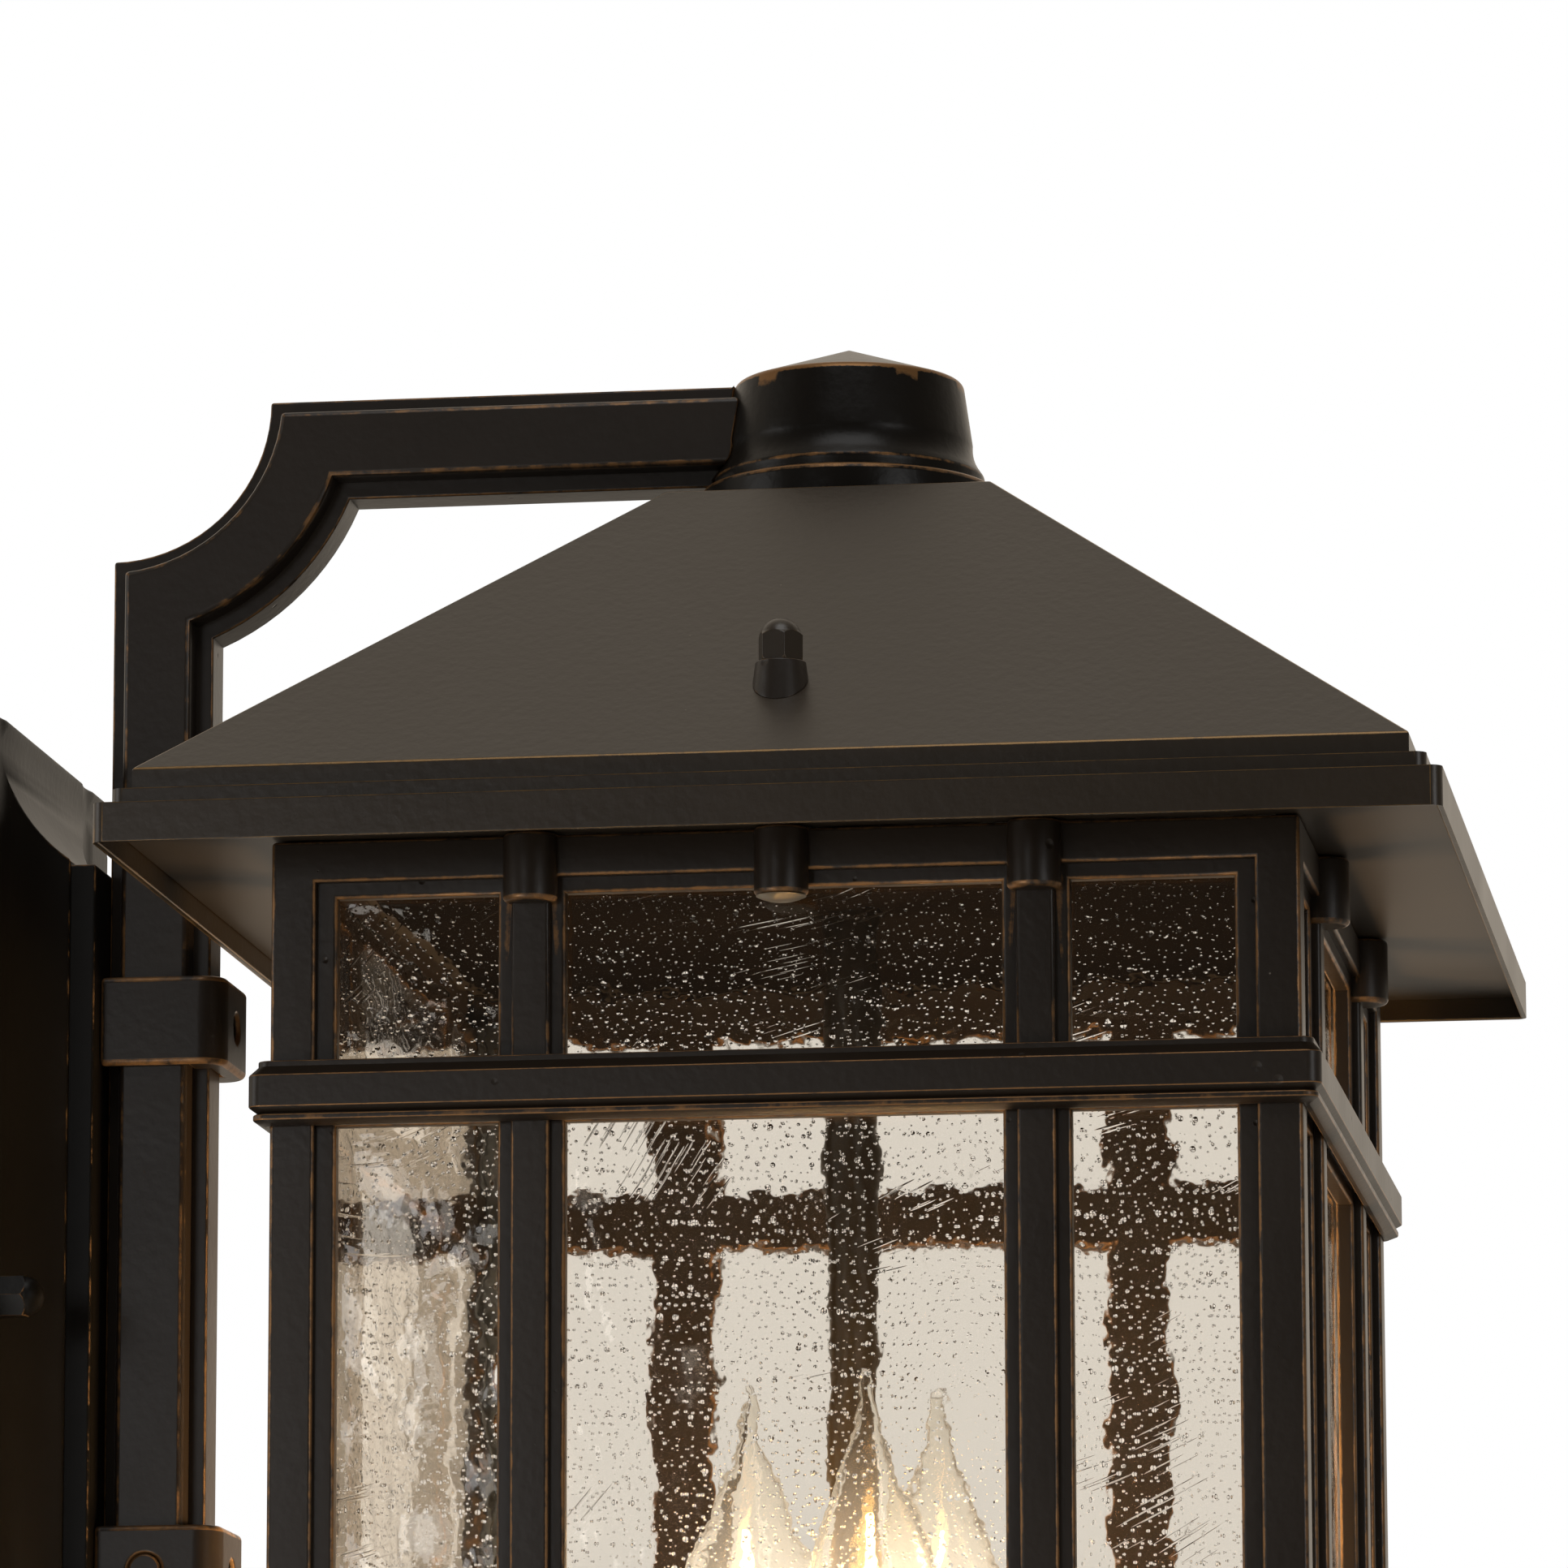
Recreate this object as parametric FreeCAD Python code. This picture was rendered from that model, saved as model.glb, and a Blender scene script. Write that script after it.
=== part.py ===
"""Outdoor wall lantern on a scooped bracket, built as separate pieces.

Millimetres, +Z up. The origin is the centre of the back plate on the wall, the wall is the
plane Y = 0 and the lantern stands out towards -Y. Each piece is written to parts/NODE.step.
"""
import math
import os

import FreeCAD
import Part

# Places and fits
EAVE_GAP = 2.6               # room between the bracket's post and the eave
SEAT = 0.3                   # gap between pieces of different bodies that sit on each other
FIT = 0.05                   # radial running fit of a thread or pin
ROUND_CLEAR = 0.5            # radial room round a screw or stem in a plain hole

# Back plate
PLATE_SKIN = 2.5
RIM_SIDE = 16.0              # flat rim outside the cove, at the sides
RIM_END = 1.5                # flat rim outside the cove, at top and bottom
RIM_DEPTH = 6.6              # wall to the rim's face
RIM_BACK = 7.5               # width of the rim's flat that meets the gasket
PANEL_WIDTH = 42.0
PANEL_HEIGHT = 199.0
PANEL_DEPTH = 23.0           # wall to the raised flat
PANEL_SIDE = 5.5             # straight side under the raised flat
BEAD = 1.0                   # small ledge between straight side and cove
COVE_REACH = 27.0            # how far the cove runs out from the ledge
GASKET_THICKNESS = 1.6
GASKET_MARGIN = 1.0          # the gasket stays this far inside the plate's edge

# Wall fixing
CROSSBAR_ROOM = 2.5          # room between crossbar and gasket at each end
CROSSBAR_HEIGHT = 20.0
CROSSBAR_THICKNESS = 2.4
BOX_SCREW_SPACING = 69.85    # outlet box screws
BOX_SLOT_RADIUS = 2.4
BOX_SLOT_LENGTH = 14.0
STUD_SETBACK = 15.0          # plate's side to a stud's axis
STUD_RADIUS = 2.5
STUD_GRIP = 7.0              # stud length inside its cap nut
STUD_BOSS_RADIUS = 6.5
STUD_BOSS_HEIGHT = 1.6

# Cap nuts, one size on the wall and on the roof
NUT_FLATS = 8.6
WALL_NUT_HEX = 7.5
WALL_NUT_DOME = 3.5
ROOF_NUT_HEX = 6.2
ROOF_NUT_DOME = 3.1
ROOF_NUT_TURN = 17.0         # degrees, where the tightened nuts stop
NUT_CHAMFER = 0.8
HEX_SIDES = 6

# Bracket
BAR_WIDTH = 22.7             # across the bar in the plane of the bracket
BAR_THICKNESS = 11.6
FLAT_INSET = 3.75            # raised flat's distance from the bar's edges
FLAT_DEPTH = 25.2            # bracket depth over both raised flats
FLAT_CHAMFER = 0.8
ARM_TOP = 205.9
POST_BOTTOM = -96.0
SCOOP_RADIUS = 35.3

# Collars
COLLAR_DEPTH = 30.6
COLLAR_HEIGHT = 19.7
COLLAR_FRONT = 5.0           # wall in front of the post
COLLAR_ROUND = 6.0           # upright edges at the lantern side
COLLAR_EDGE = 1.4
COLLAR_CLEAR = 0.1
UPPER_COLLAR_Z = 65.3
LOWER_COLLAR_Z = -55.8
SET_SCREW_RADIUS = 3.0
SET_SCREW_SUNK = 1.4
PIN_RADIUS = 3.5
PIN_CHAMFER = 0.4

# Roof
EAVE_OVERHANG = 31.7         # eave beyond the cage on each side
EAVE_BOTTOM = 82.6
FASCIA_HEIGHT = 8.3
STEP_SETBACK = 3.4
STEP_HEIGHT = 3.5
RISER_SETBACK = 3.7
RISER_HEIGHT = 4.8
SLOPE_RISE = 76.7
TOP_WIDTH = 71.2
ROOF_SKIN = 1.4
LIP_DEPTH = 5.0              # fascia below the soffit
SOFFIT_THICKNESS = 1.2
EAVE_ROUND = 2.6
CAGE_SCREW_PROUD = 0.2       # long screws and pegs, axis in front of the frames
BOSS_TOP_RADIUS = 5.3
BOSS_FOOT_RADIUS = 6.5
BOSS_RISE = 3.9              # boss above the slope, at its axis

# Hub
RING_RADIUS = 33.0
RING_HEIGHT = 6.3
RING_ROUND = 0.9
BEAD_RADIUS = 30.1
BEAD_HEIGHT = 8.8
BODY_FOOT_RADIUS = 29.0
BODY_FOOT = 10.4
WAIST_RADIUS = 27.4          # where the cove ends and the straight body begins
WAIST_HEIGHT = 16.5
BODY_TOP_RADIUS = 25.6
BODY_HEIGHT = 29.0
SHOULDER_RADIUS = 24.2
SHOULDER_HEIGHT = 30.5
CONE_HEIGHT = 38.7
CONE_TIP = 1.0
HUB_SKIN = 3.2
HUB_BOSS_RADIUS = 9.0
NIPPLE_RADIUS = 4.8
NIPPLE_BORE = 3.6
NIPPLE_ABOVE = 24.0          # nipple above the roof's flat top
NIPPLE_BELOW = 16.0
LOCK_NUT_FLATS = 15.0
LOCK_NUT_HEIGHT = 4.5

# Cage
CAGE_WIDTH = 216.0
CAGE_BOTTOM = -216.0
FRAME_FACE = 2.0             # outer layer, with the wide windows
FRAME_REBATE = 4.0           # inner layer, with the windows at pane size
STILE_FLAT = 9.5
STILE_WIDTH = 13.8
MUNTIN_SETBACK = 55.1        # corner of the cage to a muntin's middle
MUNTIN_FLAT = 8.1
MUNTIN_WIDTH = 14.3
TOP_FLAT_Z = 78.5
TOP_PANE_Z = 75.2
RAIL_TOP_Z = 40.6
RAIL_BOTTOM_Z = 27.0
BOTTOM_PANE_Z = -194.0
BOTTOM_FLAT_Z = -198.0
RAIL_PROUD = 4.1             # mid rail's face in front of the frames
RAIL_CAP = 1.2               # height of the fillet along the rail's top
RAIL_CAP_PROUD = 2.4
RAIL_FACE_TOP = 37.4
RAIL_FACE_BOTTOM = 30.8
RAIL_GROOVE = 1.1            # height from the face down to the groove's floor
RAIL_GROOVE_PROUD = 2.5
RAIL_BEAD = 1.6              # height of the bead under the groove
RAIL_BEAD_PROUD = 3.3
RAIL_LIP = 1.2               # mid rail's least thickness
RAIL_ROUND = 3.0
PEG_RADIUS = 5.7
PEG_LENGTH = 14.4
PEG_ROUND = 1.2
SCREW_RADIUS = 2.1
SCREW_HEAD_RADIUS = 5.4
SCREW_HEAD_HEIGHT = 1.3
GLASS_THICKNESS = 3.0
GLASS_SEAT = 0.2
ANGLE_LEG = 3.6
ANGLE_THICKNESS = 1.2

# Base
TRAY_PROUD = 3.5             # tray beyond the cage on each side
TRAY_EDGE = 6.0
TRAY_STEP_SETBACK = 3.5
TRAY_STEP = 3.5
TRAY_SLOPE_SETBACK = 8.0
TRAY_SLOPE = 17.0
TRAY_FOOT_WIDTH = 58.0
TRAY_SKIN = 1.6
TRAY_SCREW_RADIUS = 1.5
TRAY_SCREW_GRIP = 7.0
TRAY_SCREW_HEAD_RADIUS = 2.8
TRAY_SCREW_HEAD_HEIGHT = 1.6
FINIAL_COLLAR_RADIUS = 15.0
FINIAL_COLLAR = 4.0
FINIAL_NECK_RADIUS = 7.0
FINIAL_BALL_RADIUS = 11.0
FINIAL_TENON_RADIUS = 5.0

# Lamp cluster
STEM_RADIUS = 6.15
CLUSTER_RADIUS = 41.0
CLUSTER_THICKNESS = 9.0
CLUSTER_TOP = -178.0
CLUSTER_ROUND = 3.0
CLUSTER_NUT_FLATS = 17.0
CLUSTER_NUT_HEIGHT = 6.0
LAMP_CIRCLE = 24.0
LAMP_COUNT = 3
LAMP_TURN = 44.0             # degrees from the +X side to the first lamp
SLEEVE_RADIUS = 11.4
SLEEVE_WALL = 1.4
SLEEVE_TOP = -99.0
SOCKET_RADIUS = 9.2
SOCKET_TOP = -100.5
LAMP_TIP = -16.0
LAMP_NECK = -96.0            # where glass meets base
LAMP_RADIUS = 16.0
LAMP_WIDEST = -68.0
LAMP_NECK_RADIUS = 7.0
LAMP_SHOULDER_RADIUS = 6.6   # glass radius halfway up the taper to the tip
LAMP_SHOULDER = -38.0
LAMP_TIP_RADIUS = 1.0
LAMP_GLASS = 0.8
LAMP_BASE_RADIUS = 5.95
LAMP_BASE_LENGTH = 18.0
FILAMENT_POST_RADIUS = 2.2
FILAMENT_FOOT = -80.0
FILAMENT_TOP = -48.0
FILAMENT_REACH = 5.0
FILAMENT_WIRE = 0.7

# Worked out from the sizes above
UP = FreeCAD.Vector(0, 0, 1)
OUT = FreeCAD.Vector(0, -1, 0)
SIDE = FreeCAD.Vector(1, 0, 0)
PLATE_WIDTH = PANEL_WIDTH + 2 * (BEAD + COVE_REACH + RIM_SIDE)
PLATE_HEIGHT = PANEL_HEIGHT + 2 * (BEAD + COVE_REACH + RIM_END)
PLATE_BACK = GASKET_THICKNESS
CROSSBAR_LENGTH = PLATE_WIDTH - 2 * (RIM_BACK + CROSSBAR_ROOM)
STUD_SPACING = PLATE_WIDTH - 2 * STUD_SETBACK
POST_BACK = PANEL_DEPTH
POST_FRONT = POST_BACK + BAR_WIDTH
EAVE_WIDTH = CAGE_WIDTH + 2 * EAVE_OVERHANG
STEP_WIDTH = EAVE_WIDTH - 2 * STEP_SETBACK
RISER_WIDTH = STEP_WIDTH - 2 * RISER_SETBACK
REACH = POST_FRONT + EAVE_GAP + EAVE_WIDTH / 2    # wall to the lantern's upright axis
CAGE_SCREW_OFFSET = CAGE_WIDTH / 2 + CAGE_SCREW_PROUD
MUNTIN_OFFSET = CAGE_WIDTH / 2 - MUNTIN_SETBACK
TRAY_WIDTH = CAGE_WIDTH + 2 * TRAY_PROUD
TRAY_STEP_WIDTH = TRAY_WIDTH - 2 * TRAY_STEP_SETBACK
TRAY_SLOPE_WIDTH = TRAY_STEP_WIDTH - 2 * TRAY_SLOPE_SETBACK
FASCIA_TOP = EAVE_BOTTOM + FASCIA_HEIGHT
STEP_TOP = FASCIA_TOP + STEP_HEIGHT
SLOPE_FOOT = STEP_TOP + RISER_HEIGHT
ROOF_TOP = SLOPE_FOOT + SLOPE_RISE
SOFFIT = EAVE_BOTTOM + LIP_DEPTH
CAGE_TOP = SOFFIT - SEAT
PEG_BOTTOM = CAGE_TOP - PEG_LENGTH
FRAME_DEPTH = FRAME_FACE + FRAME_REBATE
SLOPE = SLOPE_RISE / ((RISER_WIDTH - TOP_WIDTH) / 2)
CLUSTER_BOTTOM = CLUSTER_TOP - CLUSTER_THICKNESS
TRAY_TOP = CAGE_BOTTOM
TRAY_BOTTOM = TRAY_TOP - TRAY_EDGE - TRAY_STEP - TRAY_SLOPE


def lantern_point(x, out, z):
    """Point beside the lantern's axis: x sideways, out away from the wall, z up."""
    return FreeCAD.Vector(x, -REACH - out, z)


def box(x_range, depth_range, z_range):
    """Box between two x, two distances from the wall and two heights."""
    size = FreeCAD.Vector(
        x_range[1] - x_range[0], depth_range[1] - depth_range[0], z_range[1] - z_range[0]
    )
    corner = FreeCAD.Vector(x_range[0], -depth_range[1], z_range[0])
    return Part.makeBox(size.x, size.y, size.z, corner)


def square_wire(width, z, radius=0.0):
    """Square round the lantern's axis, with round corners if a radius is given."""
    half = width / 2
    if radius == 0.0:
        corners = [(-half, -half), (half, -half), (half, half), (-half, half)]
        points = [lantern_point(x, y, z) for x, y in corners]
        return Part.makePolygon(points + points[:1])
    block = Part.makeBox(width, width, width, lantern_point(-half, half, z))
    rounded = block.makeFillet(radius, upright_edges(block))
    lowest = min(rounded.Faces, key=lambda face: face.CenterOfMass.z)
    return lowest.OuterWire


def square_block(width, z_range, radius=0.0):
    """Upright square block round the lantern's axis."""
    face = Part.Face(square_wire(width, z_range[0], radius))
    return face.extrude(UP * (z_range[1] - z_range[0]))


def square_taper(width_low, z_low, width_high, z_high, radius=0.0):
    """Square block whose width changes evenly with height."""
    wires = [square_wire(width_low, z_low, radius), square_wire(width_high, z_high, radius)]
    return Part.makeLoft(wires, True, True)


def turned(outline, centre):
    """Turn a closed list of edges in the (radius, height) plane about an upright axis."""
    face = Part.Face(Part.Wire(Part.__sortEdges__(outline)))
    solid = face.revolve(FreeCAD.Vector(0, 0, 0), UP, 360)
    solid.translate(centre)
    return solid


def line(start, end):
    """Straight edge between two (radius, height) points."""
    return Part.makeLine(FreeCAD.Vector(start[0], 0, start[1]), FreeCAD.Vector(end[0], 0, end[1]))


def lines(points):
    """Straight edges through a row of (radius, height) points."""
    return [line(a, b) for a, b in zip(points, points[1:])]


def curve(points):
    """Smooth edge through a row of (radius, height) points."""
    spline = Part.BSplineCurve()
    spline.interpolate([FreeCAD.Vector(r, 0, z) for r, z in points])
    return spline.toShape()


def upright_edges(shape):
    """Straight edges of a shape that stand upright."""
    straight = [e for e in shape.Edges if isinstance(e.Curve, (Part.Line, Part.LineSegment))]
    return [e for e in straight if e.tangentAt(e.FirstParameter).cross(UP).Length < SEAT]


def prism(sides_apart, length, base, axis):
    """Hexagonal bar of a given width across flats."""
    corner = sides_apart / math.sqrt(3)
    angles = [2 * math.pi * i / HEX_SIDES for i in range(HEX_SIDES + 1)]
    points = [FreeCAD.Vector(corner * math.cos(a), corner * math.sin(a), 0) for a in angles]
    bar = Part.Face(Part.makePolygon(points)).extrude(UP * length)
    bar.Placement = FreeCAD.Placement(base, FreeCAD.Rotation(UP, axis))
    return bar


def dome_edge(radius, rim, top):
    """Arc in the (radius, height) plane from a round rim to the crown on the axis."""
    rise = top - rim
    ball = (radius ** 2 + rise ** 2) / (2 * abs(rise))
    turn = math.atan2(radius, ball - abs(rise)) / 2
    middle = top - math.copysign(ball * (1 - math.cos(turn)), rise)
    points = [(radius, rim), (ball * math.sin(turn), middle), (0, top)]
    return Part.Arc(*[FreeCAD.Vector(r, 0, z) for r, z in points]).toShape()


def cap_nut(hex_height, dome_height, bore_radius, base, axis, turn=0.0):
    """Acorn nut: hexagon, chamfered foot, dome and blind bore, along any axis, turned by some degrees."""
    reach = NUT_FLATS / math.sqrt(3)
    dome_radius = NUT_FLATS / 2
    dome = dome_edge(dome_radius, hex_height, hex_height + dome_height)
    foot = dome_radius + NUT_CHAMFER / 2
    sides = lines([
        (0, hex_height + dome_height), (0, 0), (foot, 0), (reach, NUT_CHAMFER),
        (reach, hex_height - NUT_CHAMFER), (dome_radius, hex_height),
    ])
    envelope = turned(sides + [dome], FreeCAD.Vector(0, 0, 0))
    bar = prism(NUT_FLATS, hex_height + dome_height, FreeCAD.Vector(0, 0, 0), UP)
    bore = Part.makeCylinder(bore_radius, hex_height)
    nut = bar.common(envelope).cut(bore)
    nut.Placement = FreeCAD.Placement(base, FreeCAD.Rotation(UP, axis) * FreeCAD.Rotation(UP, turn))
    return nut


def moulded_prism(half_panel, edge, sweep, sideways):
    """Bar with the plate's section (flat, side, ledge, cove, rim), swept along one axis."""
    ledge = PANEL_DEPTH - PANEL_SIDE
    cove_start = half_panel + BEAD
    cove_end = cove_start + COVE_REACH
    hollow = 1 - math.sqrt(0.5)
    cove_middle = (cove_start + COVE_REACH * hollow, RIM_DEPTH + (ledge - RIM_DEPTH) * hollow)

    def place(side, depth):
        return sideways * side + OUT * depth - sweep / 2

    def run(sign, points):
        places = [place(sign * side, depth) for side, depth in points]
        return [Part.makeLine(a, b) for a, b in zip(places, places[1:])]

    edges = run(1, [(-half_panel, PANEL_DEPTH), (half_panel, PANEL_DEPTH)])
    edges += run(1, [(-edge, PLATE_BACK), (edge, PLATE_BACK)])
    for sign in (-1, 1):
        edges += run(sign, [(edge, PLATE_BACK), (edge, RIM_DEPTH), (cove_end, RIM_DEPTH)])
        edges += run(sign, [(cove_start, ledge), (half_panel, ledge), (half_panel, PANEL_DEPTH)])
        cove = [(cove_end, RIM_DEPTH), cove_middle, (cove_start, ledge)]
        edges.append(Part.Arc(*[place(sign * side, depth) for side, depth in cove]).toShape())
    wire = Part.Wire(Part.__sortEdges__(edges))
    return Part.Face(wire).extrude(sweep)


def stud_places():
    """Sideways places of the two mounting studs."""
    return (-STUD_SPACING / 2, STUD_SPACING / 2)


def back_plate():
    """Moulded plate with mitred coves, hollow behind, with a boss at each stud."""
    across = moulded_prism(PANEL_WIDTH / 2, PLATE_WIDTH / 2, UP * PLATE_HEIGHT, SIDE)
    along = moulded_prism(PANEL_HEIGHT / 2, PLATE_HEIGHT / 2, SIDE * PLATE_WIDTH, UP)
    plate = across.common(along)
    half_x = PLATE_WIDTH / 2 - RIM_BACK
    half_z = PLATE_HEIGHT / 2 - RIM_BACK
    shallow = box((-half_x, half_x), (PLATE_BACK, RIM_DEPTH - PLATE_SKIN), (-half_z, half_z))
    deep_x = PANEL_WIDTH / 2 - PLATE_SKIN
    deep_z = PANEL_HEIGHT / 2 - PLATE_SKIN
    deep = box((-deep_x, deep_x), (PLATE_BACK, PANEL_DEPTH - PLATE_SKIN), (-deep_z, deep_z))
    seat = RIM_DEPTH + STUD_BOSS_HEIGHT
    for x in stud_places():
        foot = FreeCAD.Vector(x, -RIM_DEPTH + PLATE_SKIN, 0)
        plate = plate.fuse(Part.makeCylinder(STUD_BOSS_RADIUS, seat - RIM_DEPTH + PLATE_SKIN, foot, OUT))
    plate = plate.cut(shallow).cut(deep)
    for x in stud_places():
        plate = plate.cut(Part.makeCylinder(STUD_RADIUS + ROUND_CLEAR, seat, FreeCAD.Vector(x, 0, 0), OUT))
    return plate


def plate_gasket():
    """Foam ring between the plate's rim and the wall."""
    half_x = PLATE_WIDTH / 2 - GASKET_MARGIN
    half_z = PLATE_HEIGHT / 2 - GASKET_MARGIN
    inner_x = PLATE_WIDTH / 2 - RIM_BACK
    inner_z = PLATE_HEIGHT / 2 - RIM_BACK
    ring = box((-half_x, half_x), (0, GASKET_THICKNESS), (-half_z, half_z))
    return ring.cut(box((-inner_x, inner_x), (0, GASKET_THICKNESS), (-inner_z, inner_z)))


def mounting_crossbar():
    """Steel strap with a slot for each outlet box screw and a hole for each stud."""
    half = CROSSBAR_LENGTH / 2
    bar = box((-half, half), (0, CROSSBAR_THICKNESS), (-CROSSBAR_HEIGHT / 2, CROSSBAR_HEIGHT / 2))
    run = BOX_SLOT_LENGTH / 2 - BOX_SLOT_RADIUS
    for sign in (-1, 1):
        centre = sign * BOX_SCREW_SPACING / 2
        slot = box((centre - run, centre + run), (0, CROSSBAR_THICKNESS), (-BOX_SLOT_RADIUS, BOX_SLOT_RADIUS))
        for end in (centre - run, centre + run):
            slot = slot.fuse(
                Part.makeCylinder(BOX_SLOT_RADIUS, CROSSBAR_THICKNESS, FreeCAD.Vector(end, 0, 0), OUT)
            )
        bar = bar.cut(slot)
    for x in stud_places():
        bar = bar.cut(
            Part.makeCylinder(STUD_RADIUS + FIT, CROSSBAR_THICKNESS, FreeCAD.Vector(x, 0, 0), OUT)
        )
    return bar


def mounting_studs():
    """Two threaded studs from the crossbar into the wall cap nuts."""
    length = RIM_DEPTH + STUD_BOSS_HEIGHT + STUD_GRIP
    studs = [Part.makeCylinder(STUD_RADIUS, length, FreeCAD.Vector(x, 0, 0), OUT) for x in stud_places()]
    return Part.makeCompound(studs)


def wall_nut(x):
    """Cap nut on one mounting stud."""
    base = FreeCAD.Vector(x, -RIM_DEPTH - STUD_BOSS_HEIGHT - FIT, 0)
    return cap_nut(WALL_NUT_HEX, WALL_NUT_DOME, STUD_RADIUS + FIT, base, OUT)


def bracket_outline(inset, end_depth):
    """Outline of post and arm with the scooped corner, drawn in by an inset."""
    def place(depth, z):
        return FreeCAD.Vector(0, -depth, z)

    outer = SCOOP_RADIUS + inset
    inner = SCOOP_RADIUS + BAR_WIDTH - inset
    far = BAR_WIDTH - inset
    outer_run = math.sqrt(outer ** 2 - inset ** 2)
    inner_run = math.sqrt(inner ** 2 - far ** 2)
    diagonal = math.sqrt(0.5)

    def arc(start, radius, stop):
        middle = place(POST_BACK + radius * diagonal, ARM_TOP - radius * diagonal)
        return Part.Arc(start, middle, stop).toShape()

    corners = [
        place(POST_BACK + inset, POST_BOTTOM + inset),
        place(POST_BACK + inset, ARM_TOP - outer_run),
        place(POST_BACK + outer_run, ARM_TOP - inset),
        place(end_depth, ARM_TOP - inset),
        place(end_depth, ARM_TOP - far),
        place(POST_BACK + inner_run, ARM_TOP - far),
        place(POST_BACK + far, ARM_TOP - inner_run),
        place(POST_BACK + far, POST_BOTTOM + inset),
    ]
    edges = [Part.makeLine(corners[i], corners[(i + 1) % len(corners)]) for i in range(len(corners))]
    edges[1] = arc(corners[1], outer, corners[2])
    edges[5] = arc(corners[5], inner, corners[6])
    return Part.Face(Part.Wire(edges))


def pin_point(x):
    """Point on the axis of the pin through lower collar and post."""
    return FreeCAD.Vector(x, -(POST_BACK + POST_FRONT) / 2, LOWER_COLLAR_Z)


def bracket():
    """Cast post and arm: a thin bar with a raised flat on each side, cut to the hub."""
    bar = bracket_outline(0.0, REACH)
    bar.translate(-SIDE * BAR_THICKNESS / 2)
    bar = bar.extrude(SIDE * BAR_THICKNESS)
    straight = FLAT_DEPTH - 2 * FLAT_CHAMFER
    flat = bracket_outline(FLAT_INSET, REACH)
    flat.translate(-SIDE * straight / 2)
    flat = flat.extrude(SIDE * straight)
    casting = bar.fuse(flat)
    for sign in (-1, 1):
        low = bracket_outline(FLAT_INSET, REACH).OuterWire
        low.translate(SIDE * sign * straight / 2)
        high = bracket_outline(FLAT_INSET + FLAT_CHAMFER, REACH).OuterWire
        high.translate(SIDE * sign * FLAT_DEPTH / 2)
        casting = casting.fuse(Part.makeLoft([low, high], True, True))
    pin = Part.makeCylinder(PIN_RADIUS + FIT, FLAT_DEPTH, pin_point(-FLAT_DEPTH / 2), SIDE)
    return casting.removeSplitter().cut(hub_outside()).cut(pin)


def collar(z):
    """Strap round the post, with a set screw hole at the lantern side."""
    half = COLLAR_DEPTH / 2
    z_range = (z - COLLAR_HEIGHT / 2, z + COLLAR_HEIGHT / 2)
    strap = box((-half, half), (POST_BACK, POST_FRONT + COLLAR_FRONT), z_range)
    front = [e for e in upright_edges(strap) if -e.CenterOfMass.y > POST_FRONT]
    strap = strap.makeFillet(COLLAR_ROUND, front)
    rims = [e for e in strap.Edges if abs(e.CenterOfMass.z - z) > COLLAR_HEIGHT / 2 - COLLAR_EDGE]
    rims = [e for e in rims if -e.CenterOfMass.y > POST_BACK + COLLAR_EDGE]
    strap = strap.makeFillet(COLLAR_EDGE, rims)
    bar = BAR_THICKNESS / 2 + COLLAR_CLEAR
    flat = FLAT_DEPTH / 2 + COLLAR_CLEAR
    strap = strap.cut(box((-bar, bar), (POST_BACK, POST_FRONT + COLLAR_CLEAR), z_range))
    flat_depths = (POST_BACK, POST_FRONT - FLAT_INSET + COLLAR_CLEAR)
    strap = strap.cut(box((-flat, flat), flat_depths, z_range))
    hole = FreeCAD.Vector(0, -POST_FRONT, z)
    return strap.cut(Part.makeCylinder(SET_SCREW_RADIUS + FIT, COLLAR_FRONT, hole, OUT))


def lower_collar():
    """Collar that the cross pin goes through."""
    hole = Part.makeCylinder(PIN_RADIUS + FIT, COLLAR_DEPTH, pin_point(-COLLAR_DEPTH / 2), SIDE)
    return collar(LOWER_COLLAR_Z).cut(hole)


def collar_pin():
    """Pin through lower collar and post."""
    length = COLLAR_DEPTH + 2 * PIN_CHAMFER
    pin = Part.makeCylinder(PIN_RADIUS, length, pin_point(-length / 2), SIDE)
    return pin.makeChamfer(PIN_CHAMFER, [e for e in pin.Edges if e.Closed])


def set_screws():
    """One headless screw in each collar, against the post."""
    length = COLLAR_FRONT - SET_SCREW_SUNK
    socket_depth = length / 2
    screws = []
    for z in (UPPER_COLLAR_Z, LOWER_COLLAR_Z):
        base = FreeCAD.Vector(0, -POST_FRONT, z)
        screw = Part.makeCylinder(SET_SCREW_RADIUS, length, base, OUT)
        socket = prism(SET_SCREW_RADIUS, socket_depth, base + OUT * (length - socket_depth), OUT)
        screws.append(screw.cut(socket))
    return Part.makeCompound(screws)


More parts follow.
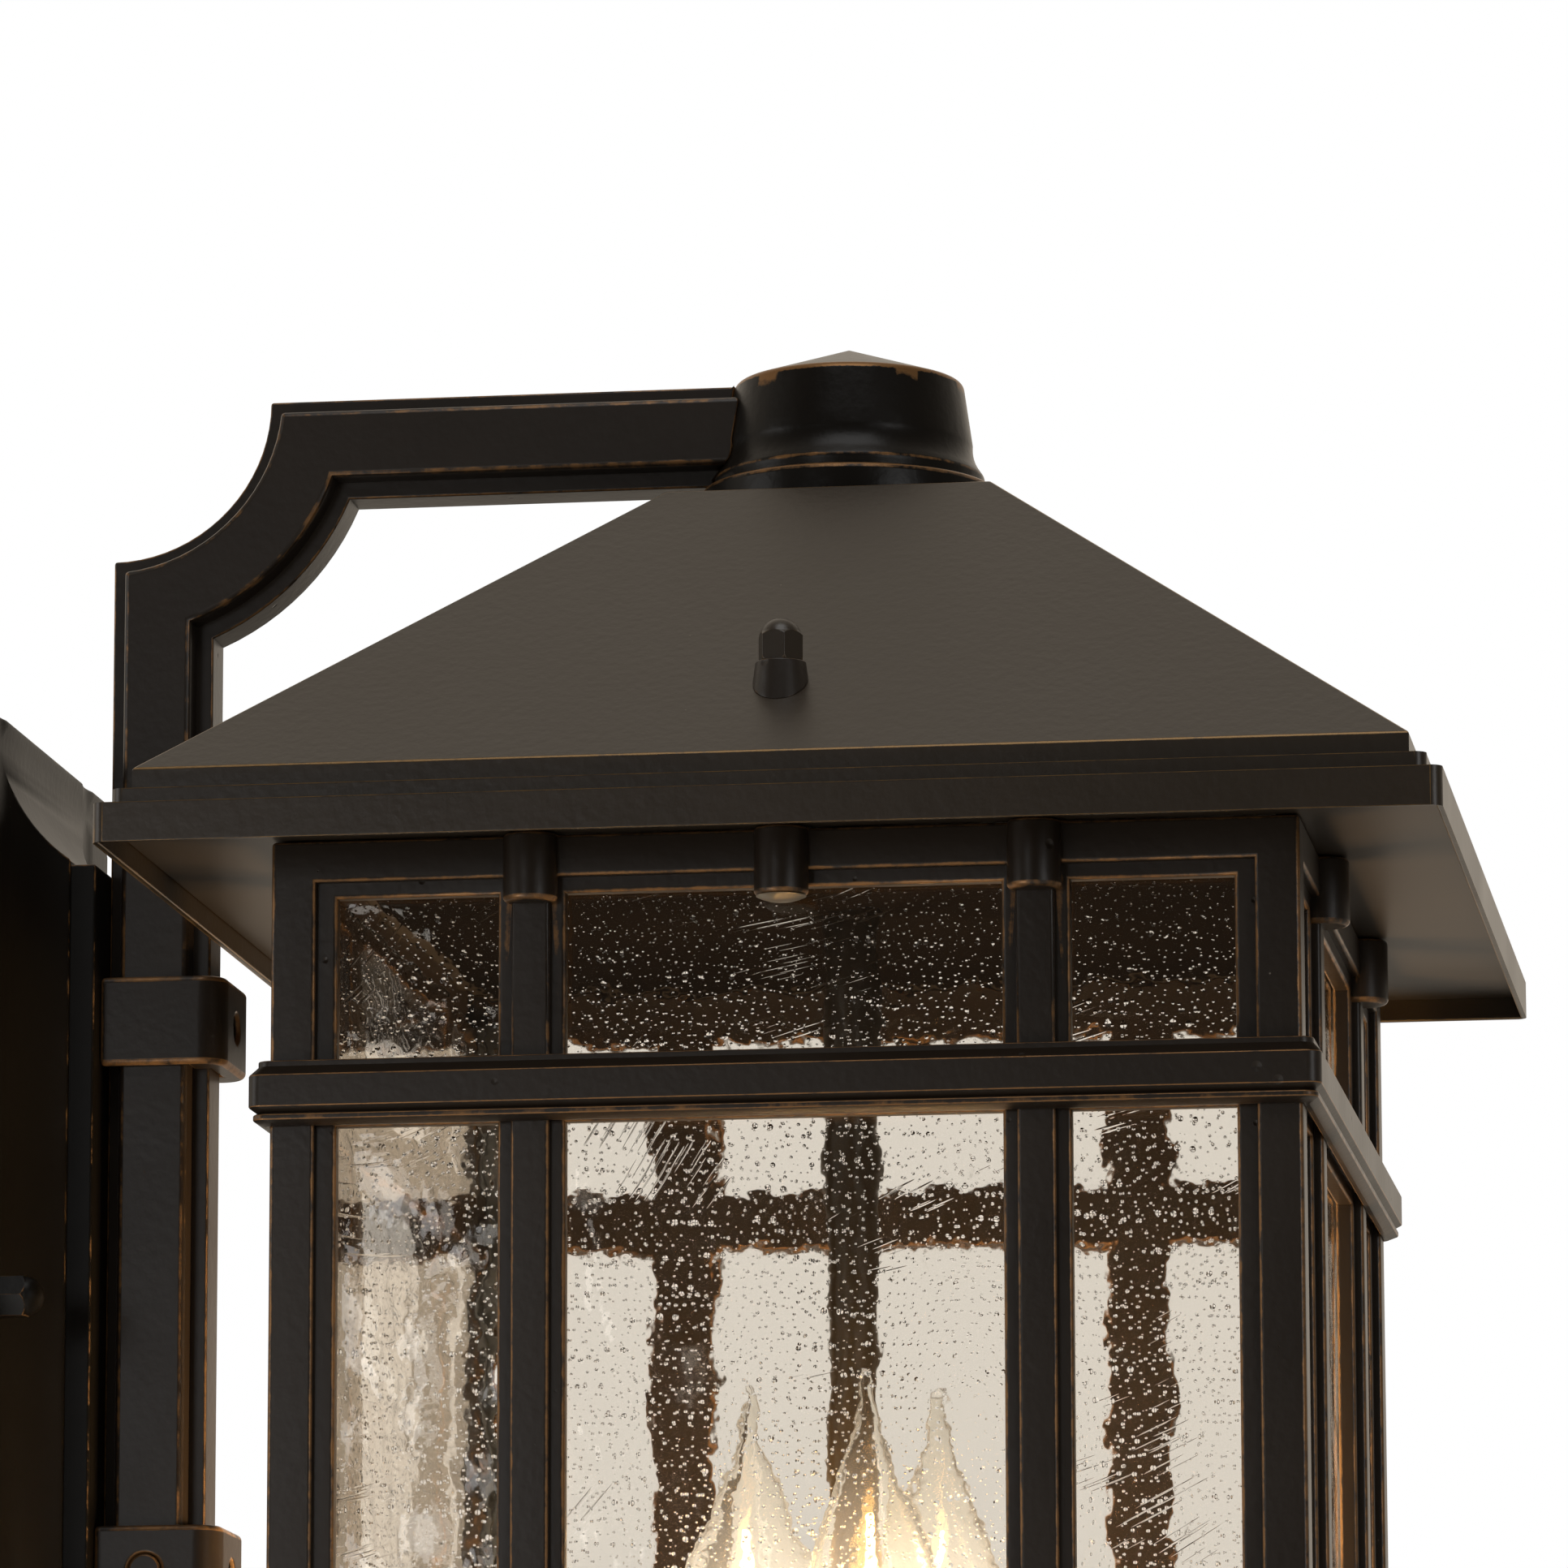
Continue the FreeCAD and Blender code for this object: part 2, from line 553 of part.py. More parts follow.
def hub_outline():
    """Outer edges of the hub from its foot to its tip, as (radius, height) edges."""
    foot = lines([
        (0, 0), (RING_RADIUS, 0), (RING_RADIUS, RING_HEIGHT - RING_ROUND),
        (RING_RADIUS - RING_ROUND, RING_HEIGHT), (BEAD_RADIUS - RING_ROUND / 2, RING_HEIGHT + RING_ROUND / 4),
        (BEAD_RADIUS, BEAD_HEIGHT), (BODY_FOOT_RADIUS, BODY_FOOT),
    ])
    cove = curve([
        (BODY_FOOT_RADIUS, BODY_FOOT),
        ((BODY_FOOT_RADIUS + WAIST_RADIUS * 2) / 3, (BODY_FOOT * 2 + WAIST_HEIGHT) / 3),
        (WAIST_RADIUS, WAIST_HEIGHT),
    ])
    body = line((WAIST_RADIUS, WAIST_HEIGHT), (BODY_TOP_RADIUS, BODY_HEIGHT))
    shoulder = curve([
        (BODY_TOP_RADIUS, BODY_HEIGHT),
        ((BODY_TOP_RADIUS * 2 + SHOULDER_RADIUS) / 3, (BODY_HEIGHT + SHOULDER_HEIGHT * 2) / 3),
        (SHOULDER_RADIUS, SHOULDER_HEIGHT),
    ])
    tip = line((SHOULDER_RADIUS, SHOULDER_HEIGHT), (CONE_TIP, CONE_HEIGHT - CONE_TIP / 3))
    end = lines([(CONE_TIP, CONE_HEIGHT - CONE_TIP / 3), (0, CONE_HEIGHT), (0, 0)])
    return foot + [cove, body, shoulder, tip] + end


def hub_outside():
    """Hub as a full solid, for what butts against it."""
    return turned(hub_outline(), lantern_point(0, 0, ROOF_TOP))


def hub():
    """Hollow hub with a middle boss for the nipple."""
    crown = SHOULDER_HEIGHT - HUB_SKIN
    hollow = turned(
        lines([
            (HUB_BOSS_RADIUS, 0), (BODY_FOOT_RADIUS - HUB_SKIN, 0),
            (BODY_TOP_RADIUS - HUB_SKIN, BODY_HEIGHT - HUB_SKIN), (HUB_BOSS_RADIUS, crown),
            (HUB_BOSS_RADIUS, 0),
        ]),
        lantern_point(0, 0, ROOF_TOP),
    )
    bore = Part.makeCylinder(NIPPLE_RADIUS + FIT, NIPPLE_ABOVE, lantern_point(0, 0, ROOF_TOP), UP)
    return hub_outside().cut(hollow).cut(bore)


def hub_nipple():
    """Threaded tube that joins hub, roof and stem."""
    foot = lantern_point(0, 0, ROOF_TOP - NIPPLE_BELOW)
    tube = Part.makeCylinder(NIPPLE_RADIUS, NIPPLE_BELOW + NIPPLE_ABOVE, foot, UP)
    return tube.cut(Part.makeCylinder(NIPPLE_BORE, NIPPLE_BELOW + NIPPLE_ABOVE, foot, UP))


def hub_lock_nut():
    """Nut under the roof's flat top."""
    base = lantern_point(0, 0, ROOF_TOP - ROOF_SKIN - LOCK_NUT_HEIGHT)
    nut = prism(LOCK_NUT_FLATS, LOCK_NUT_HEIGHT, base, UP)
    return nut.cut(Part.makeCylinder(NIPPLE_RADIUS + FIT, LOCK_NUT_HEIGHT, base, UP))


def screw_places():
    """Sideways places of the two long cage screws."""
    return (-CAGE_SCREW_OFFSET, CAGE_SCREW_OFFSET)


def screw_holes(z_low, z_high):
    """Plain holes for the two long cage screws."""
    radius = SCREW_RADIUS + ROUND_CLEAR
    depth = z_high - z_low
    left, right = [Part.makeCylinder(radius, depth, lantern_point(x, 0, z_low), UP) for x in screw_places()]
    return left.fuse(right)


def boss_top():
    """Height of the flat that the roof cap nuts sit on."""
    return SLOPE_FOOT + (RISER_WIDTH / 2 - CAGE_SCREW_OFFSET) * SLOPE + BOSS_RISE


def roof_solid():
    """Roof without its hollow: fascia, step, riser and pyramid."""
    roof = square_block(EAVE_WIDTH, (EAVE_BOTTOM, FASCIA_TOP), EAVE_ROUND)
    roof = roof.fuse(square_block(STEP_WIDTH, (FASCIA_TOP, STEP_TOP), EAVE_ROUND))
    roof = roof.fuse(square_block(RISER_WIDTH, (STEP_TOP, SLOPE_FOOT)))
    return roof.fuse(square_taper(RISER_WIDTH, SLOPE_FOOT, TOP_WIDTH, ROOF_TOP))


def roof_shell():
    """Sheet metal roof, open below, with holes for nipple and long screws."""
    ledge = SOFFIT + SOFFIT_THICKNESS
    inner_width = RISER_WIDTH - 2 * ROOF_SKIN
    drop = ROOF_SKIN * math.sqrt(1 + SLOPE ** 2)
    top_inside = ROOF_TOP - ROOF_SKIN
    foot_inside = SLOPE_FOOT - drop + ROOF_SKIN * SLOPE
    top_width = inner_width - 2 * (top_inside - foot_inside) / SLOPE
    hollow = square_block(EAVE_WIDTH - 2 * ROOF_SKIN, (EAVE_BOTTOM, ledge))
    hollow = hollow.fuse(square_block(inner_width, (ledge, foot_inside)))
    hollow = hollow.fuse(square_taper(inner_width, foot_inside, top_width, top_inside))
    hole = Part.makeCylinder(NIPPLE_RADIUS + ROUND_CLEAR, ROOF_SKIN, lantern_point(0, 0, top_inside), UP)
    return roof_solid().cut(hollow).cut(hole).cut(screw_holes(SOFFIT, boss_top()))


def soffit_pan():
    """Flat pan that closes the roof, seated on the fascia's inner ledge."""
    pan = square_block(EAVE_WIDTH - 2 * ROOF_SKIN - 2 * FIT, (SOFFIT, SOFFIT + SOFFIT_THICKNESS))
    hole = Part.makeCylinder(STEM_RADIUS + ROUND_CLEAR, SOFFIT_THICKNESS, lantern_point(0, 0, SOFFIT), UP)
    return pan.cut(hole).cut(screw_holes(SOFFIT, SOFFIT + SOFFIT_THICKNESS))


def nut_bosses():
    """Conical boss under each roof cap nut, its foot cut to the slope."""
    bosses = []
    for x in screw_places():
        height = BOSS_RISE + BOSS_FOOT_RADIUS * SLOPE
        foot = lantern_point(x, 0, boss_top() - height)
        bosses.append(Part.makeCone(BOSS_FOOT_RADIUS, BOSS_TOP_RADIUS, height, foot, UP).cut(roof_solid()))
    return Part.makeCompound([b.cut(screw_holes(SOFFIT, boss_top())) for b in bosses])


def roof_nut(x):
    """Cap nut on the end of one long cage screw."""
    base = lantern_point(x, 0, boss_top() + FIT)
    return cap_nut(ROOF_NUT_HEX, ROOF_NUT_DOME, SCREW_RADIUS + FIT, base, UP, ROOF_NUT_TURN)


def cage_screws():
    """Two long screws from under the middle pegs up into the roof cap nuts."""
    top = boss_top() + ROOF_NUT_HEX - SEAT
    head_foot = PEG_BOTTOM - SCREW_HEAD_HEIGHT
    screws = []
    for x in screw_places():
        flat = lines([(SCREW_HEAD_RADIUS, SCREW_HEAD_HEIGHT), (0, SCREW_HEAD_HEIGHT), (0, 0)])
        dome = dome_edge(SCREW_HEAD_RADIUS, SCREW_HEAD_HEIGHT, 0)
        head = turned(flat + [dome], lantern_point(x, 0, head_foot))
        shank = Part.makeCylinder(SCREW_RADIUS, top - PEG_BOTTOM, lantern_point(x, 0, PEG_BOTTOM), UP)
        screws.append(head.fuse(shank))
    return Part.makeCompound(screws)


def window_columns(stile, muntin):
    """Left and right edges of the three windows across a frame."""
    half = CAGE_WIDTH / 2 - stile
    return [
        (-half, -MUNTIN_OFFSET - muntin / 2),
        (-MUNTIN_OFFSET + muntin / 2, MUNTIN_OFFSET - muntin / 2),
        (MUNTIN_OFFSET + muntin / 2, half),
    ]


def cage_frame(peg_places, quarter_turns):
    """One side of the cage, mitred at its ends, with two layers of windows and its pegs."""
    half = CAGE_WIDTH / 2
    inner = half - FRAME_DEPTH
    plan = [(-half, half), (half, half), (inner, inner), (-inner, inner)]
    points = [lantern_point(x, out, CAGE_BOTTOM) for x, out in plan]
    frame = Part.Face(Part.makePolygon(points + points[:1])).extrude(UP * (CAGE_TOP - CAGE_BOTTOM))
    face_depths = (REACH + half - FRAME_FACE, REACH + half)
    full_depths = (REACH + inner, REACH + half)
    rail_band = (MUNTIN_WIDTH - MUNTIN_FLAT) / 2
    face_rows = [(RAIL_TOP_Z - rail_band, TOP_FLAT_Z), (BOTTOM_FLAT_Z, RAIL_BOTTOM_Z + rail_band)]
    pane_rows = [(RAIL_TOP_Z, TOP_PANE_Z), (BOTTOM_PANE_Z, RAIL_BOTTOM_Z)]
    for columns, rows, depths in (
        (window_columns(STILE_FLAT, MUNTIN_FLAT), face_rows, face_depths),
        (window_columns(STILE_WIDTH, MUNTIN_WIDTH), pane_rows, full_depths),
    ):
        for x_range in columns:
            for z_range in rows:
                frame = frame.cut(box(x_range, depths, z_range))
    for x in peg_places:
        base = lantern_point(x, CAGE_SCREW_OFFSET, PEG_BOTTOM)
        peg = Part.makeCylinder(PEG_RADIUS, PEG_LENGTH, base, UP)
        rim = [e for e in peg.Edges if e.Closed and abs(e.CenterOfMass.z - PEG_BOTTOM) < SEAT]
        frame = frame.fuse(peg.makeFillet(PEG_ROUND, rim))
        if x == 0:
            frame = frame.cut(Part.makeCylinder(SCREW_RADIUS + FIT, PEG_LENGTH, base, UP))
    foot = lantern_point(0, half - FRAME_DEPTH / 2, CAGE_BOTTOM)
    frame = frame.cut(Part.makeCylinder(TRAY_SCREW_RADIUS + FIT, TRAY_SCREW_GRIP + SEAT, foot, UP))
    frame.rotate(lantern_point(0, 0, 0), UP, 90 * quarter_turns)
    return frame


def mid_rail():
    """Belt moulding round the cage: cap fillet, sloped shoulder, face, groove, bead and sloped lip."""
    groove = RAIL_FACE_BOTTOM - RAIL_GROOVE
    section = [
        (RAIL_LIP, RAIL_BOTTOM_Z), (RAIL_BEAD_PROUD, groove - RAIL_BEAD),
        (RAIL_BEAD_PROUD, groove - RAIL_BEAD / 3), (RAIL_GROOVE_PROUD, groove),
        (RAIL_PROUD, RAIL_FACE_BOTTOM), (RAIL_PROUD, RAIL_FACE_TOP),
        (RAIL_CAP_PROUD, RAIL_TOP_Z - RAIL_CAP), (RAIL_CAP_PROUD, RAIL_TOP_Z),
    ]
    bands = []
    for (proud_low, z_low), (proud_high, z_high) in zip(section, section[1:]):
        widths = [CAGE_WIDTH + 2 * proud for proud in (proud_low, proud_high)]
        bands.append(square_taper(widths[0], z_low, widths[1], z_high, RAIL_ROUND))
    belt = bands[0].multiFuse(bands[1:]).removeSplitter()
    return belt.cut(square_block(CAGE_WIDTH, (RAIL_BOTTOM_Z, RAIL_TOP_Z)))


def glass_face():
    """Distance from the lantern axis to the outer face of each pane."""
    return CAGE_WIDTH / 2 - FRAME_DEPTH - GLASS_SEAT


def glass_pane(quarter_turns):
    """One sheet of seeded glass behind a frame, from bottom rail to top rail."""
    outer = glass_face()
    half = outer - GLASS_THICKNESS - GLASS_SEAT
    lap = STILE_WIDTH - STILE_FLAT
    z_range = (BOTTOM_PANE_Z - lap, TOP_PANE_Z + lap)
    pane = box((-half, half), (REACH + outer - GLASS_THICKNESS, REACH + outer), z_range)
    pane.rotate(lantern_point(0, 0, 0), UP, 90 * quarter_turns)
    return pane


def corner_angles():
    """Upright angle strip in each corner, which holds two panes in their frames."""
    outer = glass_face() - GLASS_THICKNESS - GLASS_SEAT
    inner = outer - ANGLE_THICKNESS
    z_range = (CAGE_BOTTOM, TOP_PANE_Z + STILE_WIDTH - STILE_FLAT)
    strips = []
    for quarter in range(4):
        outside = box((outer - ANGLE_LEG, outer), (REACH + outer - ANGLE_LEG, REACH + outer), z_range)
        inside = box((outer - ANGLE_LEG, inner), (REACH + outer - ANGLE_LEG, REACH + inner), z_range)
        strip = outside.cut(inside)
        strip.rotate(lantern_point(0, 0, 0), UP, 90 * quarter)
        strips.append(strip)
    return Part.makeCompound(strips)


def tray_outside():
    """Base tray without its hollow: edge, step and shallow inverted pyramid."""
    edge_low = TRAY_TOP - TRAY_EDGE
    step_low = edge_low - TRAY_STEP
    tray = square_block(TRAY_WIDTH, (edge_low, TRAY_TOP), EAVE_ROUND)
    tray = tray.fuse(square_block(TRAY_STEP_WIDTH, (step_low, edge_low), EAVE_ROUND))
    return tray.fuse(square_taper(TRAY_FOOT_WIDTH, TRAY_BOTTOM, TRAY_SLOPE_WIDTH, step_low))


def base_tray():
    """Hollow tray that closes the cage below."""
    step_low = TRAY_TOP - TRAY_EDGE - TRAY_STEP
    floor = TRAY_BOTTOM + TRAY_SKIN
    side = (TRAY_SLOPE_WIDTH - TRAY_FOOT_WIDTH) / 2
    skin = TRAY_SKIN * math.hypot(side, TRAY_SLOPE) / TRAY_SLOPE
    inner_top = TRAY_SLOPE_WIDTH - 2 * skin
    rise = TRAY_TOP - step_low
    inner_foot = inner_top - 2 * side * (step_low - floor) / TRAY_SLOPE
    hollow = square_taper(inner_foot, floor, inner_top, step_low)
    hollow = hollow.fuse(square_block(inner_top, (step_low, step_low + rise)))
    tray = tray_outside().cut(hollow)
    tenon = lantern_point(0, 0, TRAY_BOTTOM)
    tray = tray.cut(Part.makeCylinder(FINIAL_TENON_RADIUS + FIT, TRAY_SKIN, tenon, UP))
    for place in tray_screw_places():
        tray = tray.cut(Part.makeCylinder(TRAY_SCREW_RADIUS + FIT, rise, place - UP * rise, UP))
    return tray


def tray_screw_places():
    """Points on the tray's top where a screw goes up into each frame."""
    out = CAGE_WIDTH / 2 - FRAME_DEPTH / 2
    return [lantern_point(x, y, TRAY_TOP) for x, y in ((out, 0), (-out, 0), (0, out), (0, -out))]


def tray_screws():
    """Four screws that hold the tray to the frames."""
    drop = TRAY_EDGE + TRAY_STEP
    screws = []
    for place in tray_screw_places():
        shank = Part.makeCylinder(TRAY_SCREW_RADIUS, drop + TRAY_SCREW_GRIP, place - UP * drop, UP)
        foot = place - UP * (drop + TRAY_SCREW_HEAD_HEIGHT)
        screws.append(shank.fuse(Part.makeCylinder(TRAY_SCREW_HEAD_RADIUS, TRAY_SCREW_HEAD_HEIGHT, foot, UP)))
    return Part.makeCompound(screws)


def base_finial():
    """Turned knob under the tray, with a tenon through its floor."""
    neck = -FINIAL_COLLAR
    ball_top = neck - FINIAL_COLLAR / 2
    ball_drop = math.sqrt(FINIAL_BALL_RADIUS ** 2 - FINIAL_NECK_RADIUS ** 2)
    middle = ball_top - ball_drop
    ball = Part.Arc(
        FreeCAD.Vector(FINIAL_NECK_RADIUS, 0, ball_top),
        FreeCAD.Vector(FINIAL_BALL_RADIUS, 0, middle),
        FreeCAD.Vector(0, 0, middle - FINIAL_BALL_RADIUS),
    ).toShape()
    outline = lines([
        (0, middle - FINIAL_BALL_RADIUS), (0, TRAY_SKIN), (FINIAL_TENON_RADIUS, TRAY_SKIN),
        (FINIAL_TENON_RADIUS, 0), (FINIAL_COLLAR_RADIUS, 0),
        (FINIAL_COLLAR_RADIUS, neck / 2), (FINIAL_NECK_RADIUS, neck), (FINIAL_NECK_RADIUS, ball_top),
    ])
    return turned(outline + [ball], lantern_point(0, 0, TRAY_BOTTOM))


def stem():
    """Tube from the nipple down through the cluster, carrying the lamps."""
    top = ROOF_TOP - ROOF_SKIN - LOCK_NUT_HEIGHT
    bottom = CLUSTER_BOTTOM - CLUSTER_NUT_HEIGHT
    tube = Part.makeCylinder(STEM_RADIUS, top - bottom, lantern_point(0, 0, bottom), UP)
    return tube.cut(Part.makeCylinder(NIPPLE_RADIUS + FIT, top - bottom, lantern_point(0, 0, bottom), UP))


def lamp_places():
    """Lamp axes, evenly round their circle."""
    step = 2 * math.pi / LAMP_COUNT
    angles = [math.radians(LAMP_TURN) + step * i for i in range(LAMP_COUNT)]
    return [(LAMP_CIRCLE * math.cos(a), LAMP_CIRCLE * math.sin(a)) for a in angles]


def cluster_body():
    """Round plate on the stem that carries the lamp sockets."""
    plate = Part.makeCylinder(CLUSTER_RADIUS, CLUSTER_THICKNESS, lantern_point(0, 0, CLUSTER_BOTTOM), UP)
    rims = [e for e in plate.Edges if e.Closed]
    plate = plate.makeFillet(CLUSTER_ROUND, rims)
    return plate.cut(
        Part.makeCylinder(STEM_RADIUS + FIT, CLUSTER_THICKNESS, lantern_point(0, 0, CLUSTER_BOTTOM), UP)
    )


def cluster_nut():
    """Nut on the stem under the cluster body."""
    base = lantern_point(0, 0, CLUSTER_BOTTOM - CLUSTER_NUT_HEIGHT)
    nut = prism(CLUSTER_NUT_FLATS, CLUSTER_NUT_HEIGHT, base, UP)
    return nut.cut(Part.makeCylinder(STEM_RADIUS + FIT, CLUSTER_NUT_HEIGHT, base, UP))


def candle_sleeve(place):
    """Tube that covers one lamp socket."""
    base = lantern_point(place[0], place[1], CLUSTER_TOP)
    height = SLEEVE_TOP - CLUSTER_TOP
    tube = Part.makeCylinder(SLEEVE_RADIUS, height, base, UP)
    return tube.cut(Part.makeCylinder(SLEEVE_RADIUS - SLEEVE_WALL, height, base, UP))


def lamp_socket(place):
    """Post-mounted lamp socket with a blind bore for the lamp's base."""
    base = lantern_point(place[0], place[1], CLUSTER_TOP)
    height = SOCKET_TOP - CLUSTER_TOP
    depth = SOCKET_TOP - LAMP_NECK + LAMP_BASE_LENGTH + SEAT
    bore = Part.makeCylinder(LAMP_BASE_RADIUS + FIT, depth, base + UP * (height - depth), UP)
    return Part.makeCylinder(SOCKET_RADIUS, height, base, UP).cut(bore)


def lamp_curve(skin):
    """Side of a flame-tip lamp, drawn in by a skin thickness, from neck to tip."""
    return curve([
        (LAMP_NECK_RADIUS - skin, LAMP_NECK),
        (LAMP_RADIUS - skin, LAMP_WIDEST),
        (LAMP_SHOULDER_RADIUS - skin, LAMP_SHOULDER),
        (LAMP_TIP_RADIUS, LAMP_TIP - 2 * skin),
    ])


def lamp_glass(place):
    """Hollow flame-tip envelope."""
    outer = lines([
        (LAMP_TIP_RADIUS, LAMP_TIP), (0, LAMP_TIP), (0, LAMP_NECK), (LAMP_NECK_RADIUS, LAMP_NECK),
    ])
    tip = LAMP_TIP - 2 * LAMP_GLASS
    floor = LAMP_NECK
    inner = lines([
        (LAMP_TIP_RADIUS, tip), (0, tip), (0, floor), (LAMP_NECK_RADIUS - LAMP_GLASS, floor),
    ])
    centre = lantern_point(place[0], place[1], 0)
    return turned(outer + [lamp_curve(0.0)], centre).cut(turned(inner + [lamp_curve(LAMP_GLASS)], centre))


def lamp_base(place):
    """Metal screw base that closes the glass."""
    base = lantern_point(place[0], place[1], LAMP_NECK - LAMP_BASE_LENGTH)
    return Part.makeCylinder(LAMP_BASE_RADIUS, LAMP_BASE_LENGTH, base, UP)


def lamp_filament(place):
    """Glass post on the base with a filament loop at its top."""
    base = lantern_point(place[0], place[1], LAMP_NECK)
    post = Part.makeCone(FILAMENT_POST_RADIUS * 2, FILAMENT_POST_RADIUS, FILAMENT_FOOT - LAMP_NECK, base, UP)
    height = (FILAMENT_TOP - FILAMENT_FOOT) / 2
    middle = lantern_point(place[0], place[1], FILAMENT_FOOT + height)
    ring = Part.makeTorus(height, FILAMENT_WIRE, middle, FreeCAD.Vector(0, 1, 0))
    narrow = FreeCAD.Matrix()
    narrow.scale(FILAMENT_REACH / height, 1, 1)
    ring.translate(-middle)
    ring = ring.transformGeometry(narrow)
    ring.translate(middle)
    return post.fuse(ring)


def all_pieces():
    """Every piece by node name."""
    side_pegs = (-MUNTIN_OFFSET, 0, MUNTIN_OFFSET)
    end_pegs = (-MUNTIN_OFFSET, MUNTIN_OFFSET)
    left, right = stud_places()
    roof_left, roof_right = screw_places()
    pieces = {
        "mounting_crossbar": mounting_crossbar(),
        "mounting_studs": mounting_studs(),
        "plate_gasket": plate_gasket(),
        "back_plate": back_plate(),
        "wall_nut_left": wall_nut(left),
        "wall_nut_right": wall_nut(right),
        "bracket": bracket(),
        "upper_collar": collar(UPPER_COLLAR_Z),
        "lower_collar": lower_collar(),
        "collar_pin": collar_pin(),
        "set_screws": set_screws(),
        "hub": hub(),
        "hub_nipple": hub_nipple(),
        "hub_lock_nut": hub_lock_nut(),
        "roof_shell": roof_shell(),
        "soffit_pan": soffit_pan(),
        "nut_bosses": nut_bosses(),
        "roof_nut_left": roof_nut(roof_left),
        "roof_nut_right": roof_nut(roof_right),
        "cage_screws": cage_screws(),
        "mid_rail": mid_rail(),
        "corner_angles": corner_angles(),
        "base_tray": base_tray(),
        "tray_screws": tray_screws(),
        "base_finial": base_finial(),
        "stem": stem(),
        "cluster_body": cluster_body(),
        "cluster_nut": cluster_nut(),
    }
    sides = (("front", end_pegs), ("right", side_pegs), ("rear", end_pegs), ("left", side_pegs))
    for turns, (side, pegs) in enumerate(sides):
        pieces["cage_frame_" + side] = cage_frame(pegs, turns)
        pieces["glass_" + side] = glass_pane(turns)
    for number, place in enumerate(lamp_places(), start=1):
        pieces["candle_sleeve_%d" % number] = candle_sleeve(place)
        pieces["lamp_socket_%d" % number] = lamp_socket(place)
        pieces["lamp_%d_glass" % number] = lamp_glass(place)
        pieces["lamp_%d_base" % number] = lamp_base(place)
        pieces["lamp_%d_filament" % number] = lamp_filament(place)
    return pieces


os.makedirs("parts", exist_ok=True)
for node, shape in all_pieces().items():
    shape.exportStep("parts/%s.step" % node)
    print("%-20s %2d solids  %10.1f mm3  valid %s" % (node, len(shape.Solids), shape.Volume, shape.isValid()))
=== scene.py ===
"""Outdoor wall lantern: oil-rubbed bronze, seeded glass and lit candle lamps."""
import logging
import math
from abc import ABC, abstractmethod
from contextlib import contextmanager
from dataclasses import dataclass
from enum import Enum
from typing import Any, Callable, ClassVar, Dict, Iterator, List, Optional, Sequence, Tuple

import bpy
from mathutils import Matrix, Vector


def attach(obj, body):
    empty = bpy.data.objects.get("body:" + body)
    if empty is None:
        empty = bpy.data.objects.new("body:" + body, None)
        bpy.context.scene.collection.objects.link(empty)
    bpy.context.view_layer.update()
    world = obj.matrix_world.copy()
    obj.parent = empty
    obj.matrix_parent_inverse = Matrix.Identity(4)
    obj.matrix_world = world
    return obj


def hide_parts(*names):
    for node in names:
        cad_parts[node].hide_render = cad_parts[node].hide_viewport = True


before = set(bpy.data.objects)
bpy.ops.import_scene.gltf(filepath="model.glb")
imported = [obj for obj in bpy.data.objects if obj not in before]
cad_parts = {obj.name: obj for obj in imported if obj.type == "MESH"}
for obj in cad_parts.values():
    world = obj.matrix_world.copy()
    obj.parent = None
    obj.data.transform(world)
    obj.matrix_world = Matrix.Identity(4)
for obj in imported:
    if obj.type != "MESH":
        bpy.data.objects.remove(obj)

LOG = logging.getLogger("lantern")
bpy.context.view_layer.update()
MM = 0.001
AXIS_Y = -188.0                     # upright axis of the lantern, in mm from the wall
GLASS_IOR = 1.5
WHITE = "#ffffff"
MIX_FROM, MIX_TO, MIXED = 6, 7, 2   # sockets of a Mix node that mixes colours

Tree = bpy.types.NodeTree
Socket = bpy.types.NodeSocket
Piece = bpy.types.Object
Point = Tuple[float, float, float]


class Body(Enum):
    """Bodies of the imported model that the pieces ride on."""

    WALL_UNIT = "wall_unit"
    CAGE = "cage"
    WALL_NUT_LEFT = "wall_nut_left_body"
    WALL_NUT_RIGHT = "wall_nut_right_body"
    ROOF_NUT_LEFT = "roof_nut_left_body"
    ROOF_NUT_RIGHT = "roof_nut_right_body"


class Casting(Enum):
    """How a bronze piece was made, which decides the texture of its skin."""

    CAST = "cast"
    SHEET = "sheet"
    PLATE = "plate"
    SPUN = "spun"


def linear(code: str) -> Tuple[float, float, float, float]:
    """Turn an sRGB hex colour into linear values.

    Args:
        code: colour such as "#4c453f".

    Returns:
        Red, green, blue and an alpha of 1.
    """
    channels = [int(code[i:i + 2], 16) / 255 for i in (1, 3, 5)]
    red, green, blue = [c / 12.92 if c <= 0.04045 else ((c + 0.055) / 1.055) ** 2.4 for c in channels]
    return red, green, blue, 1.0


def add_node(tree: Tree, kind: str, settings: Optional[Dict[str, Any]] = None,
             inputs: Optional[Dict[Any, Any]] = None) -> bpy.types.Node:
    """Add a node with its settings, input values and links.

    Args:
        tree: node tree of a material or the world.
        kind: node type, such as "ShaderNodeTexNoise".
        settings: properties of the node.
        inputs: input values, or output sockets to link, by input name or number.

    Returns:
        The new node.
    """
    node = tree.nodes.new(kind)
    for name, value in (settings or {}).items():
        setattr(node, name, value)
    for key, value in (inputs or {}).items():
        if isinstance(value, bpy.types.NodeSocket):
            tree.links.new(value, node.inputs[key])
        else:
            node.inputs[key].default_value = value
    return node


def add_object(name: str, data: bpy.types.ID) -> Piece:
    """Put a mesh, light or camera into the scene.

    Args:
        name: name of the object.
        data: what it shows.

    Returns:
        The new object.
    """
    thing = bpy.data.objects.new(name, data)
    bpy.context.scene.collection.objects.link(thing)
    return thing


